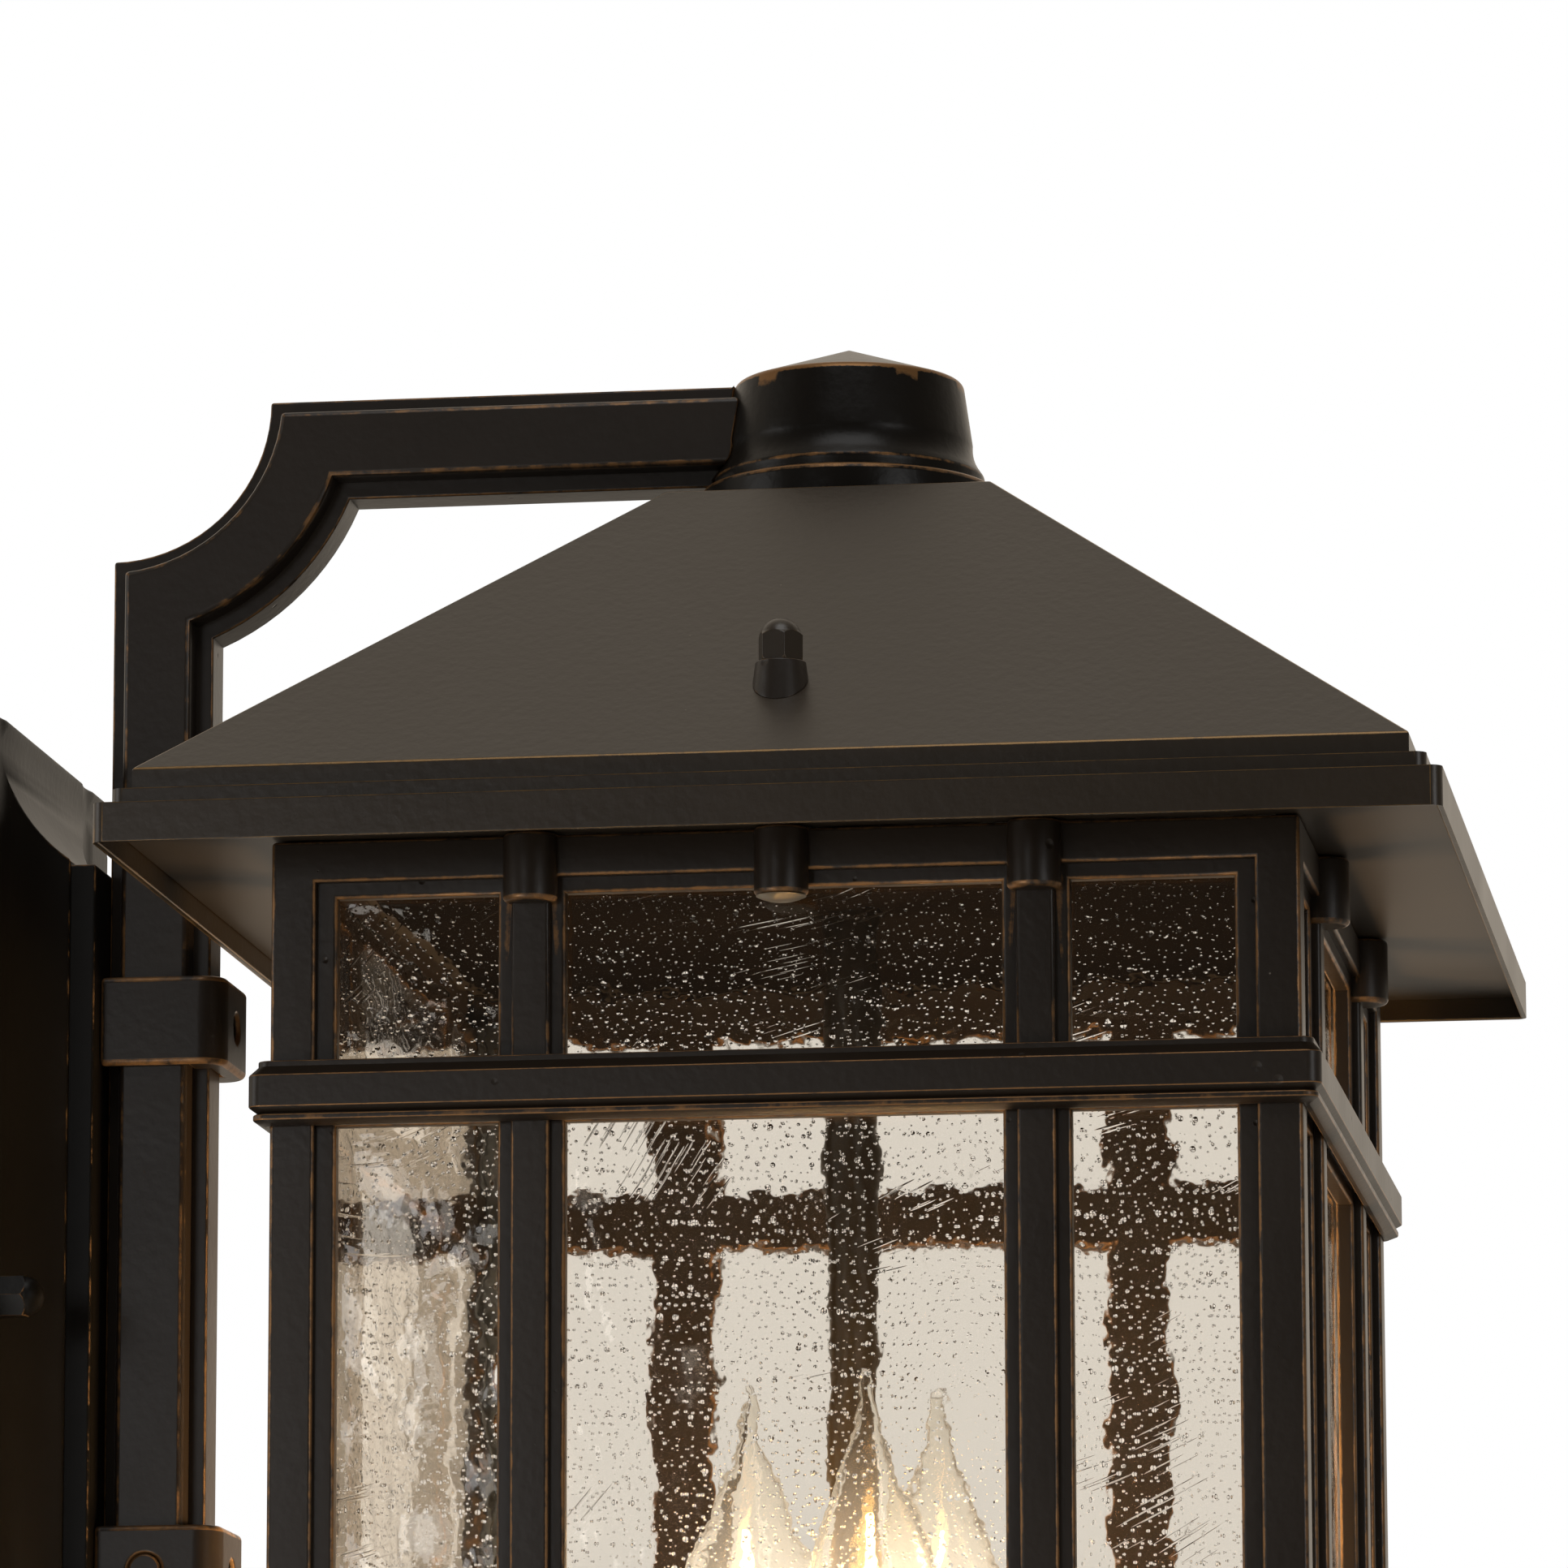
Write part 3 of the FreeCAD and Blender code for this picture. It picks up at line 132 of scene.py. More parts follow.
class Finish(ABC):
    """A finish that makes its own material."""

    name: str

    @abstractmethod
    def surface(self, tree: Tree, place: Socket) -> Socket:
        """Lay out the shader.

        Args:
            tree: node tree of the material.
            place: object coordinates.

        Returns:
            Shader socket.
        """

    def build(self) -> bpy.types.Material:
        """Make the material.

        Returns:
            The material.
        """
        material = bpy.data.materials.new(self.name)
        material.use_nodes = True
        tree = material.node_tree
        tree.nodes.clear()
        place = add_node(tree, "ShaderNodeTexCoord").outputs["Object"]
        add_node(tree, "ShaderNodeOutputMaterial", inputs={"Surface": self.surface(tree, place)})
        return material


@dataclass(frozen=True)
class OilRubbedBronze(Finish):
    """Satin bronze paint on metal, rubbed through to copper on the edges.

    The eye sees a near-black brown that greys where it reflects the light tent, thin broken
    copper lines on the arrises, an orange-peel skin with pale dust, and pits where it was cast.
    """

    BARE_CELLS: ClassVar[float] = 0.4       # share of the cells that have no spot
    LEAST_REACH: ClassVar[float] = 0.001
    casting: Casting
    paint: str
    paint_dark: str
    specular: float = 0.5
    copper: str = "#745434"
    copper_from: float = 0.35               # sum of wear and noise at which copper begins to show
    copper_full: float = 0.75
    copper_metallic: float = 0.6
    wear_gain: float = 3.0
    break_mm: float = 6.0
    break_swing: float = 0.95               # how far the noise lifts or lowers the wear
    dust: str = "#6f675c"
    dust_cell_mm: float = 9.0
    dust_reach: float = 0.03
    roughness: float = 0.36
    glossier: float = 0.05                  # how far the mottle lowers the roughness
    duller: float = 0.06
    worn_roughness: float = 0.33
    mottle_mm: float = 38.0
    peel_mm: float = 2.2
    peel_depth_mm: float = 0.1
    peel_strength: float = 0.6
    pit_cell_mm: float = 8.0
    pit_reach: float = 0.15
    pit_depth_mm: float = 0.35
    pit_strength: float = 0.8

    @property
    def name(self) -> str:
        """Name of the material."""
        return "oil_rubbed_bronze_" + self.casting.value

    def surface(self, tree: Tree, place: Socket) -> Socket:
        """Lay out mottled paint, dust, worn copper and the skin.

        Args:
            tree: node tree of the material.
            place: object coordinates.

        Returns:
            Shader socket.
        """
        mottle = add_node(tree, "ShaderNodeTexNoise", inputs={
            "Vector": place, "Scale": 1 / (self.mottle_mm * MM), "Detail": 4.0, "Roughness": 0.6})
        paint = add_node(tree, "ShaderNodeMix", {"data_type": "RGBA"}, {
            "Factor": mottle.outputs["Fac"], MIX_FROM: linear(self.paint_dark), MIX_TO: linear(self.paint)})
        dusty = add_node(tree, "ShaderNodeMix", {"data_type": "RGBA"}, {
            "Factor": self.spots(tree, place, self.dust_cell_mm, self.dust_reach),
            MIX_FROM: paint.outputs[MIXED], MIX_TO: linear(self.dust)})
        mask = self.worn_mask(tree, place)
        colour = add_node(tree, "ShaderNodeMix", {"data_type": "RGBA"}, {
            "Factor": mask, MIX_FROM: dusty.outputs[MIXED], MIX_TO: linear(self.copper)})
        gloss = add_node(tree, "ShaderNodeMapRange", inputs={
            "Value": mottle.outputs["Fac"], "To Min": self.roughness - self.glossier,
            "To Max": self.roughness + self.duller})
        rough = add_node(tree, "ShaderNodeMapRange", inputs={
            "Value": mask, "To Min": gloss.outputs["Result"], "To Max": self.worn_roughness})
        bare = add_node(tree, "ShaderNodeMath", {"operation": "MULTIPLY"}, {0: mask, 1: self.copper_metallic})
        return add_node(tree, "ShaderNodeBsdfPrincipled", inputs={
            "Base Color": colour.outputs[MIXED], "Roughness": rough.outputs["Result"],
            "Metallic": bare.outputs[0], "Specular IOR Level": self.specular,
            "Normal": self.relief(tree, place)}).outputs["BSDF"]

    def spots(self, tree: Tree, place: Socket, cell_mm: float, reach: float) -> Socket:
        """Scattered small spots, one at most in a cell.

        Args:
            tree: node tree of the material.
            place: object coordinates.
            cell_mm: size of a cell.
            reach: radius of the largest spot, as a share of the cell.

        Returns:
            Socket that is 1 at the middle of a spot and 0 outside.
        """
        cells = add_node(tree, "ShaderNodeTexVoronoi", inputs={
            "Vector": place, "Scale": 1 / (cell_mm * MM), "Randomness": 1.0})
        pick = add_node(tree, "ShaderNodeSeparateColor", inputs={"Color": cells.outputs["Color"]})
        radius = add_node(tree, "ShaderNodeMapRange", inputs={
            "Value": pick.outputs["Red"], "From Min": self.BARE_CELLS, "To Min": self.LEAST_REACH,
            "To Max": reach})
        share = add_node(tree, "ShaderNodeMath", {"operation": "DIVIDE", "use_clamp": True}, {
            0: cells.outputs["Distance"], 1: radius.outputs["Result"]})
        return add_node(tree, "ShaderNodeMath", {"operation": "SUBTRACT"}, {
            0: 1.0, 1: share.outputs[0]}).outputs[0]

    def worn_mask(self, tree: Tree, place: Socket) -> Socket:
        """Broken band along the edges that carry the wear attribute.

        Args:
            tree: node tree of the material.
            place: object coordinates.

        Returns:
            Socket that is 1 where the copper shows.
        """
        wear = add_node(tree, "ShaderNodeAttribute", {"attribute_name": "wear"})
        breaks = add_node(tree, "ShaderNodeTexNoise", inputs={
            "Vector": place, "Scale": 1 / (self.break_mm * MM), "Detail": 5.0, "Roughness": 0.7})
        shift = add_node(tree, "ShaderNodeMath", {"operation": "MULTIPLY_ADD"}, {
            0: breaks.outputs["Fac"], 1: 2 * self.break_swing, 2: -self.break_swing})
        total = add_node(tree, "ShaderNodeMath", {"operation": "ADD"}, {
            0: shift.outputs[0], 1: wear.outputs["Fac"]})
        band = add_node(tree, "ShaderNodeMapRange", inputs={
            "Value": total.outputs[0], "From Min": self.copper_from, "From Max": self.copper_full})
        worn = add_node(tree, "ShaderNodeMath", {"operation": "MULTIPLY", "use_clamp": True}, {
            0: wear.outputs["Fac"], 1: self.wear_gain})
        return add_node(tree, "ShaderNodeMath", {"operation": "MULTIPLY"}, {
            0: band.outputs["Result"], 1: worn.outputs[0]}).outputs[0]

    def relief(self, tree: Tree, place: Socket) -> Socket:
        """Orange peel of the paint, with casting pits on cast pieces.

        Args:
            tree: node tree of the material.
            place: object coordinates.

        Returns:
            Normal socket.
        """
        peel = add_node(tree, "ShaderNodeTexNoise", inputs={
            "Vector": place, "Scale": 1 / (self.peel_mm * MM), "Detail": 2.0})
        skin = add_node(tree, "ShaderNodeBump", inputs={
            "Strength": self.peel_strength, "Distance": self.peel_depth_mm * MM,
            "Height": peel.outputs["Fac"]}).outputs["Normal"]
        if self.casting is not Casting.CAST:
            return skin
        hollow = add_node(tree, "ShaderNodeMath", {"operation": "MULTIPLY"}, {
            0: self.spots(tree, place, self.pit_cell_mm, self.pit_reach), 1: -1.0})
        return add_node(tree, "ShaderNodeBump", inputs={
            "Strength": self.pit_strength, "Distance": self.pit_depth_mm * MM,
            "Height": hollow.outputs[0], "Normal": skin}).outputs["Normal"]


@dataclass(frozen=True)
class SoffitPaint(Finish):
    """Satin bronze under the eaves, and painted shade inside the cage above the lamps: matt near-black paint.
    """

    name: str = "soffit_bronze"
    inside_mm: float = 100.0
    satin: str = "#211a12"
    satin_roughness: float = 0.4
    satin_specular: float = 0.4
    # Near-black matt paint inside the cage is painted shade, where little light reaches above the lamps.
    painted_shade: str = "#080503"
    inside_roughness: float = 0.85
    grain_mm: float = 30.0
    grain_shade: float = 0.2                # how far the grain darkens or lightens the paint

    def surface(self, tree: Tree, place: Socket) -> Socket:
        """Lay out the satin paint and, inside the cage's square, the painted shade.

        Args:
            tree: node tree of the material.
            place: object coordinates.

        Returns:
            Shader socket.
        """
        centred = add_node(tree, "ShaderNodeVectorMath", {"operation": "SUBTRACT"}, {
            0: place, 1: (0.0, AXIS_Y * MM, 0.0)})
        flat = add_node(tree, "ShaderNodeVectorMath", {"operation": "ABSOLUTE"}, {0: centred.outputs[0]})
        parts = add_node(tree, "ShaderNodeSeparateXYZ", inputs={"Vector": flat.outputs[0]})
        away = add_node(tree, "ShaderNodeMath", {"operation": "MAXIMUM"}, {
            0: parts.outputs["X"], 1: parts.outputs["Y"]})
        outside = add_node(tree, "ShaderNodeMath", {"operation": "GREATER_THAN"}, {
            0: away.outputs[0], 1: self.inside_mm * MM}).outputs[0]
        mottle = add_node(tree, "ShaderNodeTexNoise", inputs={
            "Vector": place, "Scale": 1 / (self.grain_mm * MM), "Detail": 4.0})
        # Painted shade inside the cage's square, satin paint outside it.
        shade = add_node(tree, "ShaderNodeMix", {"data_type": "RGBA"}, {
            "Factor": outside, MIX_FROM: linear(self.painted_shade), MIX_TO: linear(self.satin)})
        tone = add_node(tree, "ShaderNodeMapRange", inputs={
            "Value": mottle.outputs["Fac"], "To Min": 1 - self.grain_shade, "To Max": 1 + self.grain_shade})
        colour = add_node(tree, "ShaderNodeVectorMath", {"operation": "SCALE"}, {
            0: shade.outputs[MIXED], "Scale": tone.outputs["Result"]})
        rough = add_node(tree, "ShaderNodeMapRange", inputs={
            "Value": outside, "To Min": self.inside_roughness, "To Max": self.satin_roughness})
        gloss = add_node(tree, "ShaderNodeMapRange", inputs={
            "Value": outside, "To Min": 0.0, "To Max": self.satin_specular})
        return add_node(tree, "ShaderNodeBsdfPrincipled", inputs={
            "Base Color": colour.outputs[0], "Roughness": rough.outputs["Result"],
            "Specular IOR Level": gloss.outputs["Result"]}).outputs["BSDF"]


class Glass(Finish):
    """A finish that lets light fall straight through."""

    @staticmethod
    def let_light_pass(tree: Tree, glass: Socket, tint: str) -> Socket:
        """Make a glass shader plain and clear for shadow rays.

        Args:
            tree: node tree of the material.
            glass: shader that the eye sees.
            tint: colour of the light that passes.

        Returns:
            Shader socket.
        """
        clear = add_node(tree, "ShaderNodeBsdfTransparent", inputs={"Color": linear(tint)})
        path = add_node(tree, "ShaderNodeLightPath")
        return add_node(tree, "ShaderNodeMixShader", inputs={
            0: path.outputs["Is Shadow Ray"], 1: glass, 2: clear.outputs["BSDF"]}).outputs["Shader"]


@dataclass(frozen=True)
class SeededGlass(Glass):
    """Hand-made sheet glass: wavy, crowded with seeds and bubbles, with a warm grey tint.

    All patterns are drawn in the plane of a pane: across it and up it, in millimetres.
    """

    STEEPEST: ClassVar[float] = 1.54        # steepest slope of a swelling as high as its radius
    name: str = "seeded_glass"
    tint: str = "#f3eee6"
    roughness: float = 0.03
    wave_mm: float = 17.0
    wave_height_mm: float = 0.42
    ripple_mm: float = 6.5
    ripple_height_mm: float = 0.07
    seed_cell_mm: float = 2.2
    seed_radius_mm: float = 0.42
    seed_slope: float = 0.35
    seed_stretch: float = 1.1
    least_seed: float = 0.25                # smallest radius, as a share of the largest
    bubble_cell_mm: float = 6.5
    bubble_radius_mm: float = 0.75
    streak_cell_mm: float = 1.5
    streak_radius_mm: float = 0.3
    streak_stretch: float = 28.0
    streak_slant: float = 0.5
    streak_bend_mm: float = 70.0
    patch_mm: float = 42.0
    patch_from: float = 0.55                # noise at which a patch of streaks begins
    patch_full: float = 0.63

    def surface(self, tree: Tree, place: Socket) -> Socket:
        """Lay out clear glass under waves, ripples, seeds, bubbles and streaks.

        Args:
            tree: node tree of the material.
            place: object coordinates.

        Returns:
            Shader socket.
        """
        sheet = self.sheet(tree, place)
        wave = add_node(tree, "ShaderNodeTexNoise", inputs={
            "Vector": sheet, "Scale": 1 / self.wave_mm, "Detail": 1.0})
        height = add_node(tree, "ShaderNodeMath", {"operation": "MULTIPLY"}, {
            0: wave.outputs["Fac"], 1: self.wave_height_mm}).outputs[0]
        ripple = add_node(tree, "ShaderNodeTexNoise", inputs={
            "Vector": sheet, "Scale": 1 / self.ripple_mm, "Detail": 2.0})
        height = add_node(tree, "ShaderNodeMath", {"operation": "MULTIPLY_ADD"}, {
            0: ripple.outputs["Fac"], 1: self.ripple_height_mm, 2: height}).outputs[0]
        for swelling in (
            self.seeds(tree, sheet, self.seed_cell_mm, self.seed_radius_mm, self.seed_stretch),
            self.seeds(tree, sheet, self.bubble_cell_mm, self.bubble_radius_mm, 1.0),
            self.streaks(tree, sheet),
        ):
            height = add_node(tree, "ShaderNodeMath", {"operation": "ADD"}, {0: height, 1: swelling}).outputs[0]
        relief = add_node(tree, "ShaderNodeBump", inputs={"Strength": 1.0, "Distance": MM, "Height": height})
        glass = add_node(tree, "ShaderNodeBsdfPrincipled", inputs={
            "Base Color": linear(self.tint), "Roughness": self.roughness, "IOR": GLASS_IOR,
            "Transmission Weight": 1.0, "Normal": relief.outputs["Normal"]})
        return self.let_light_pass(tree, glass.outputs["BSDF"], self.tint)

    @staticmethod
    def sheet(tree: Tree, place: Socket) -> Socket:
        """Place on a pane in millimetres: across it and up it.

        Args:
            tree: node tree of the material.
            place: object coordinates.

        Returns:
            Vector socket.
        """
        mm = add_node(tree, "ShaderNodeVectorMath", {"operation": "SCALE"}, {0: place, "Scale": 1 / MM})
        parts = add_node(tree, "ShaderNodeSeparateXYZ", inputs={"Vector": mm.outputs[0]})
        across = add_node(tree, "ShaderNodeMath", {"operation": "ADD"}, {
            0: parts.outputs["X"], 1: parts.outputs["Y"]})
        return add_node(tree, "ShaderNodeCombineXYZ", inputs={
            "X": across.outputs[0], "Y": parts.outputs["Z"]}).outputs["Vector"]

    def streaks(self, tree: Tree, sheet: Socket) -> Socket:
        """Patches of bubbles that were drawn out into slanting, bent hairs.

        Args:
            tree: node tree of the material.
            sheet: place on the pane in millimetres.

        Returns:
            Height in millimetres.
        """
        bend = add_node(tree, "ShaderNodeTexNoise", inputs={
            "Vector": sheet, "Scale": 1 / (2 * self.patch_mm), "Detail": 0.0})
        shift = add_node(tree, "ShaderNodeVectorMath", {"operation": "SCALE"}, {
            0: bend.outputs["Color"], "Scale": self.streak_bend_mm})
        bent = add_node(tree, "ShaderNodeVectorMath", {"operation": "ADD"}, {0: sheet, 1: shift.outputs[0]})
        turned = add_node(tree, "ShaderNodeVectorRotate", {"rotation_type": "Z_AXIS"}, {
            "Vector": bent.outputs[0], "Angle": self.streak_slant})
        hairs = self.seeds(tree, turned.outputs["Vector"], self.streak_cell_mm, self.streak_radius_mm,
                           self.streak_stretch)
        patches = add_node(tree, "ShaderNodeTexNoise", inputs={
            "Vector": sheet, "Scale": 1 / self.patch_mm, "Detail": 1.0})
        share = add_node(tree, "ShaderNodeMapRange", inputs={
            "Value": patches.outputs["Fac"], "From Min": self.patch_from, "From Max": self.patch_full})
        return add_node(tree, "ShaderNodeMath", {"operation": "MULTIPLY"}, {
            0: hairs, 1: share.outputs["Result"]}).outputs[0]

    def seeds(self, tree: Tree, sheet: Socket, cell_mm: float, radius_mm: float, stretch: float) -> Socket:
        """Low swellings over bubbles of mixed sizes, one at most in a cell.

        Args:
            tree: node tree of the material.
            sheet: place on the pane in millimetres.
            cell_mm: size of a cell.
            radius_mm: radius of the largest bubble.
            stretch: how much longer than high the bubbles are.

        Returns:
            Height in millimetres.
        """
        largest = radius_mm / cell_mm
        drawn = add_node(tree, "ShaderNodeVectorMath", {"operation": "MULTIPLY"}, {
            0: sheet, 1: (1 / (cell_mm * stretch), 1 / cell_mm, 0.0)})
        cells = add_node(tree, "ShaderNodeTexVoronoi", {"voronoi_dimensions": "2D"}, {
            "Vector": drawn.outputs[0], "Scale": 1.0, "Randomness": 1.0})
        pick = add_node(tree, "ShaderNodeSeparateColor", inputs={"Color": cells.outputs["Color"]})
        radius = add_node(tree, "ShaderNodeMapRange", inputs={
            "Value": pick.outputs["Green"], "To Min": self.least_seed * largest, "To Max": largest})
        share = add_node(tree, "ShaderNodeMath", {"operation": "DIVIDE"}, {
            0: cells.outputs["Distance"], 1: radius.outputs["Result"]}).outputs[0]
        squared = add_node(tree, "ShaderNodeMath", {"operation": "MULTIPLY"}, {0: share, 1: share})
        left = add_node(tree, "ShaderNodeMath", {"operation": "SUBTRACT", "use_clamp": True}, {
            0: 1.0, 1: squared.outputs[0]}).outputs[0]
        swell = add_node(tree, "ShaderNodeMath", {"operation": "MULTIPLY"}, {0: left, 1: left})
        rise = add_node(tree, "ShaderNodeMath", {"operation": "MULTIPLY"}, {
            0: swell.outputs[0], 1: radius.outputs["Result"]})
        return add_node(tree, "ShaderNodeMath", {"operation": "MULTIPLY"}, {
            0: rise.outputs[0], 1: cell_mm * self.seed_slope / self.STEEPEST}).outputs[0]


@dataclass(frozen=True)
class LampGlass(Glass):
    """Clear blown lamp glass, lit from inside: warm glow that fades towards the tip."""

    name: str = "lit_lamp_glass"
    tint: str = "#fdfaf4"
    roughness: float = 0.02
    glow: str = "#fff0d8"
    strength: float = 0.3
    glow_z_mm: float = -100.0
    tip_z_mm: float = -22.0

    def surface(self, tree: Tree, place: Socket) -> Socket:
        """Lay out clear glass with the fading glow.

        Args:
            tree: node tree of the material.
            place: object coordinates.

        Returns:
            Shader socket.
        """
        height = add_node(tree, "ShaderNodeSeparateXYZ", inputs={"Vector": place}).outputs["Z"]
        fade = add_node(tree, "ShaderNodeMapRange", {"interpolation_type": "SMOOTHSTEP"}, {
            "Value": height, "From Min": self.glow_z_mm * MM, "From Max": self.tip_z_mm * MM,
            "To Min": self.strength, "To Max": 0.0})
        glass = add_node(tree, "ShaderNodeBsdfPrincipled", inputs={
            "Base Color": linear(self.tint), "Roughness": self.roughness, "IOR": GLASS_IOR,
            "Transmission Weight": 1.0, "Emission Color": linear(self.glow),
            "Emission Strength": fade.outputs["Result"]})
        return self.let_light_pass(tree, glass.outputs["BSDF"], WHITE)


@dataclass(frozen=True)
class PlainMetal(Finish):
    """Bare metal with turning or rolling marks, drawn coarser than real ones so that they show."""

    name: str
    colour: str
    roughness: float
    glossier: float = 0.08                  # how far the marks lower the roughness
    duller: float = 0.1
    mark_mm: float = 0.5
    mark_depth_mm: float = 0.03
    mark_strength: float = 0.3

    def surface(self, tree: Tree, place: Socket) -> Socket:
        """Lay out the metal and its marks.

        Args:
            tree: node tree of the material.
            place: object coordinates.

        Returns:
            Shader socket.
        """
        marks = add_node(tree, "ShaderNodeTexNoise", inputs={
            "Vector": place, "Scale": 1 / (self.mark_mm * MM), "Detail": 3.0}).outputs["Fac"]
        rough = add_node(tree, "ShaderNodeMapRange", inputs={
            "Value": marks, "To Min": self.roughness - self.glossier, "To Max": self.roughness + self.duller})
        relief = add_node(tree, "ShaderNodeBump", inputs={
            "Strength": self.mark_strength, "Distance": self.mark_depth_mm * MM, "Height": marks})
        return add_node(tree, "ShaderNodeBsdfPrincipled", inputs={
            "Base Color": linear(self.colour), "Metallic": 1.0, "Roughness": rough.outputs["Result"],
            "Normal": relief.outputs["Normal"]}).outputs["BSDF"]


@dataclass(frozen=True)
class Moulded(Finish):
    """Moulded plastic, glazed porcelain or foam, told apart by colour, gloss and grain."""

    name: str
    colour: str
    shade: str
    roughness: float
    grain_mm: float
    grain_depth_mm: float
    grain_strength: float = 0.5

    def surface(self, tree: Tree, place: Socket) -> Socket:
        """Lay out the two shades and the grain.

        Args:
            tree: node tree of the material.
            place: object coordinates.

        Returns:
            Shader socket.
        """
        grain = add_node(tree, "ShaderNodeTexNoise", inputs={
            "Vector": place, "Scale": 1 / (self.grain_mm * MM), "Detail": 3.0}).outputs["Fac"]
        colour = add_node(tree, "ShaderNodeMix", {"data_type": "RGBA"}, {
            "Factor": grain, MIX_FROM: linear(self.shade), MIX_TO: linear(self.colour)})
        relief = add_node(tree, "ShaderNodeBump", inputs={
            "Strength": self.grain_strength, "Distance": self.grain_depth_mm * MM, "Height": grain})
        return add_node(tree, "ShaderNodeBsdfPrincipled", inputs={
            "Base Color": colour.outputs[MIXED], "Roughness": self.roughness,
            "Normal": relief.outputs["Normal"]}).outputs["BSDF"]


@dataclass(frozen=True)
class HotFilament(Finish):
    """Tungsten coil at full heat, with a slight change of brightness along the wire."""

    name: str = "hot_filament"
    wire: str = "#c9a26a"
    roughness: float = 0.5
    glow: str = "#ffc878"
    strength: float = 14.0
    coolest: float = 0.7                    # share of the strength where the coil is coolest
    coil_mm: float = 2.0

    def surface(self, tree: Tree, place: Socket) -> Socket:
        """Lay out the glowing wire.

        Args:
            tree: node tree of the material.
            place: object coordinates.

        Returns:
            Shader socket.
        """
        coils = add_node(tree, "ShaderNodeTexNoise", inputs={
            "Vector": place, "Scale": 1 / (self.coil_mm * MM)})
        heat = add_node(tree, "ShaderNodeMapRange", inputs={
            "Value": coils.outputs["Fac"], "To Min": self.strength * self.coolest, "To Max": self.strength})
        return add_node(tree, "ShaderNodeBsdfPrincipled", inputs={
            "Base Color": linear(self.wire), "Roughness": self.roughness, "Emission Color": linear(self.glow),
            "Emission Strength": heat.outputs["Result"]}).outputs["BSDF"]


@dataclass(frozen=True)
class FloorPaint(Finish):
    """Matt pale paint of the studio floor."""

    name: str = "pale_floor"
    colour: str = "#e9e7e3"
    roughness: float = 0.8

    def surface(self, tree: Tree, place: Socket) -> Socket:
        """Lay out the plain paint.

        Args:
            tree: node tree of the material.
            place: object coordinates, which plain paint doesn't use.

        Returns:
            Shader socket.
        """
        return add_node(tree, "ShaderNodeBsdfPrincipled", inputs={
            "Base Color": linear(self.colour), "Roughness": self.roughness}).outputs["BSDF"]


class Finishes:
    """Every finish of the lantern, built once."""

    def __init__(self) -> None:
        """Build the materials."""
        self.cast = OilRubbedBronze(Casting.CAST, "#1f170f", "#160f09", specular=0.37).build()
        self.sheet = OilRubbedBronze(
            Casting.SHEET, "#22180b", "#1a1207", copper="#6b5230", roughness=0.34).build()
        # Darker copy of the same bronze paint, for the back plate and wall nuts: painted shade.
        self.plate = OilRubbedBronze(
            Casting.PLATE, "#0c0906", "#070503", specular=0.2, roughness=0.42).build()
        # Darker copy of the same bronze paint, for the hub: painted shade.
        self.spun = OilRubbedBronze(
            Casting.SPUN, "#100c08", "#0a0806", specular=0.18, roughness=0.3).build()
        self.soffit = SoffitPaint().build()
        self.glass = SeededGlass().build()
        self.calm_glass = SeededGlass("seeded_glass_calm", wave_height_mm=0.1, ripple_height_mm=0.015).build()
        self.lamp_glass = LampGlass().build()
        self.steel = PlainMetal("zinc_plated_steel", "#9a958b", roughness=0.36).build()
        self.brass = PlainMetal("nickel_brass_screw_base", "#c9a25c", roughness=0.28).build()
        self.foam = Moulded(
            "closed_cell_foam", "#1d1c1b", "#121110", roughness=0.9, grain_mm=0.8, grain_depth_mm=0.15).build()
        self.ivory = Moulded(
            "ivory_sleeve", "#e9e0c8", "#d9cda9", roughness=0.42, grain_mm=4.0, grain_depth_mm=0.05).build()
        self.porcelain = Moulded(
            "glazed_porcelain", "#f0eee8", "#e2ded4", roughness=0.2, grain_mm=3.0, grain_depth_mm=0.02).build()
        self.filament = HotFilament().build()


@dataclass(frozen=True)
class Edge:
    """How the edges of a piece are rounded, rubbed and shaded.

    The width is that of the rounding on each side of an edge. Edges shorter than the least length
    stay sharp, such as those of a hidden hole. Wear goes from 0 to 1, and a bend of the blunt
    radius no longer wears. An edge of more than the crease's angle in degrees is shaded sharp.
    """

    width_mm: float
    wear: float = 0.0
    least_mm: float = 0.0
    blunt_mm: float = 2.2
    crease: float = 40.0


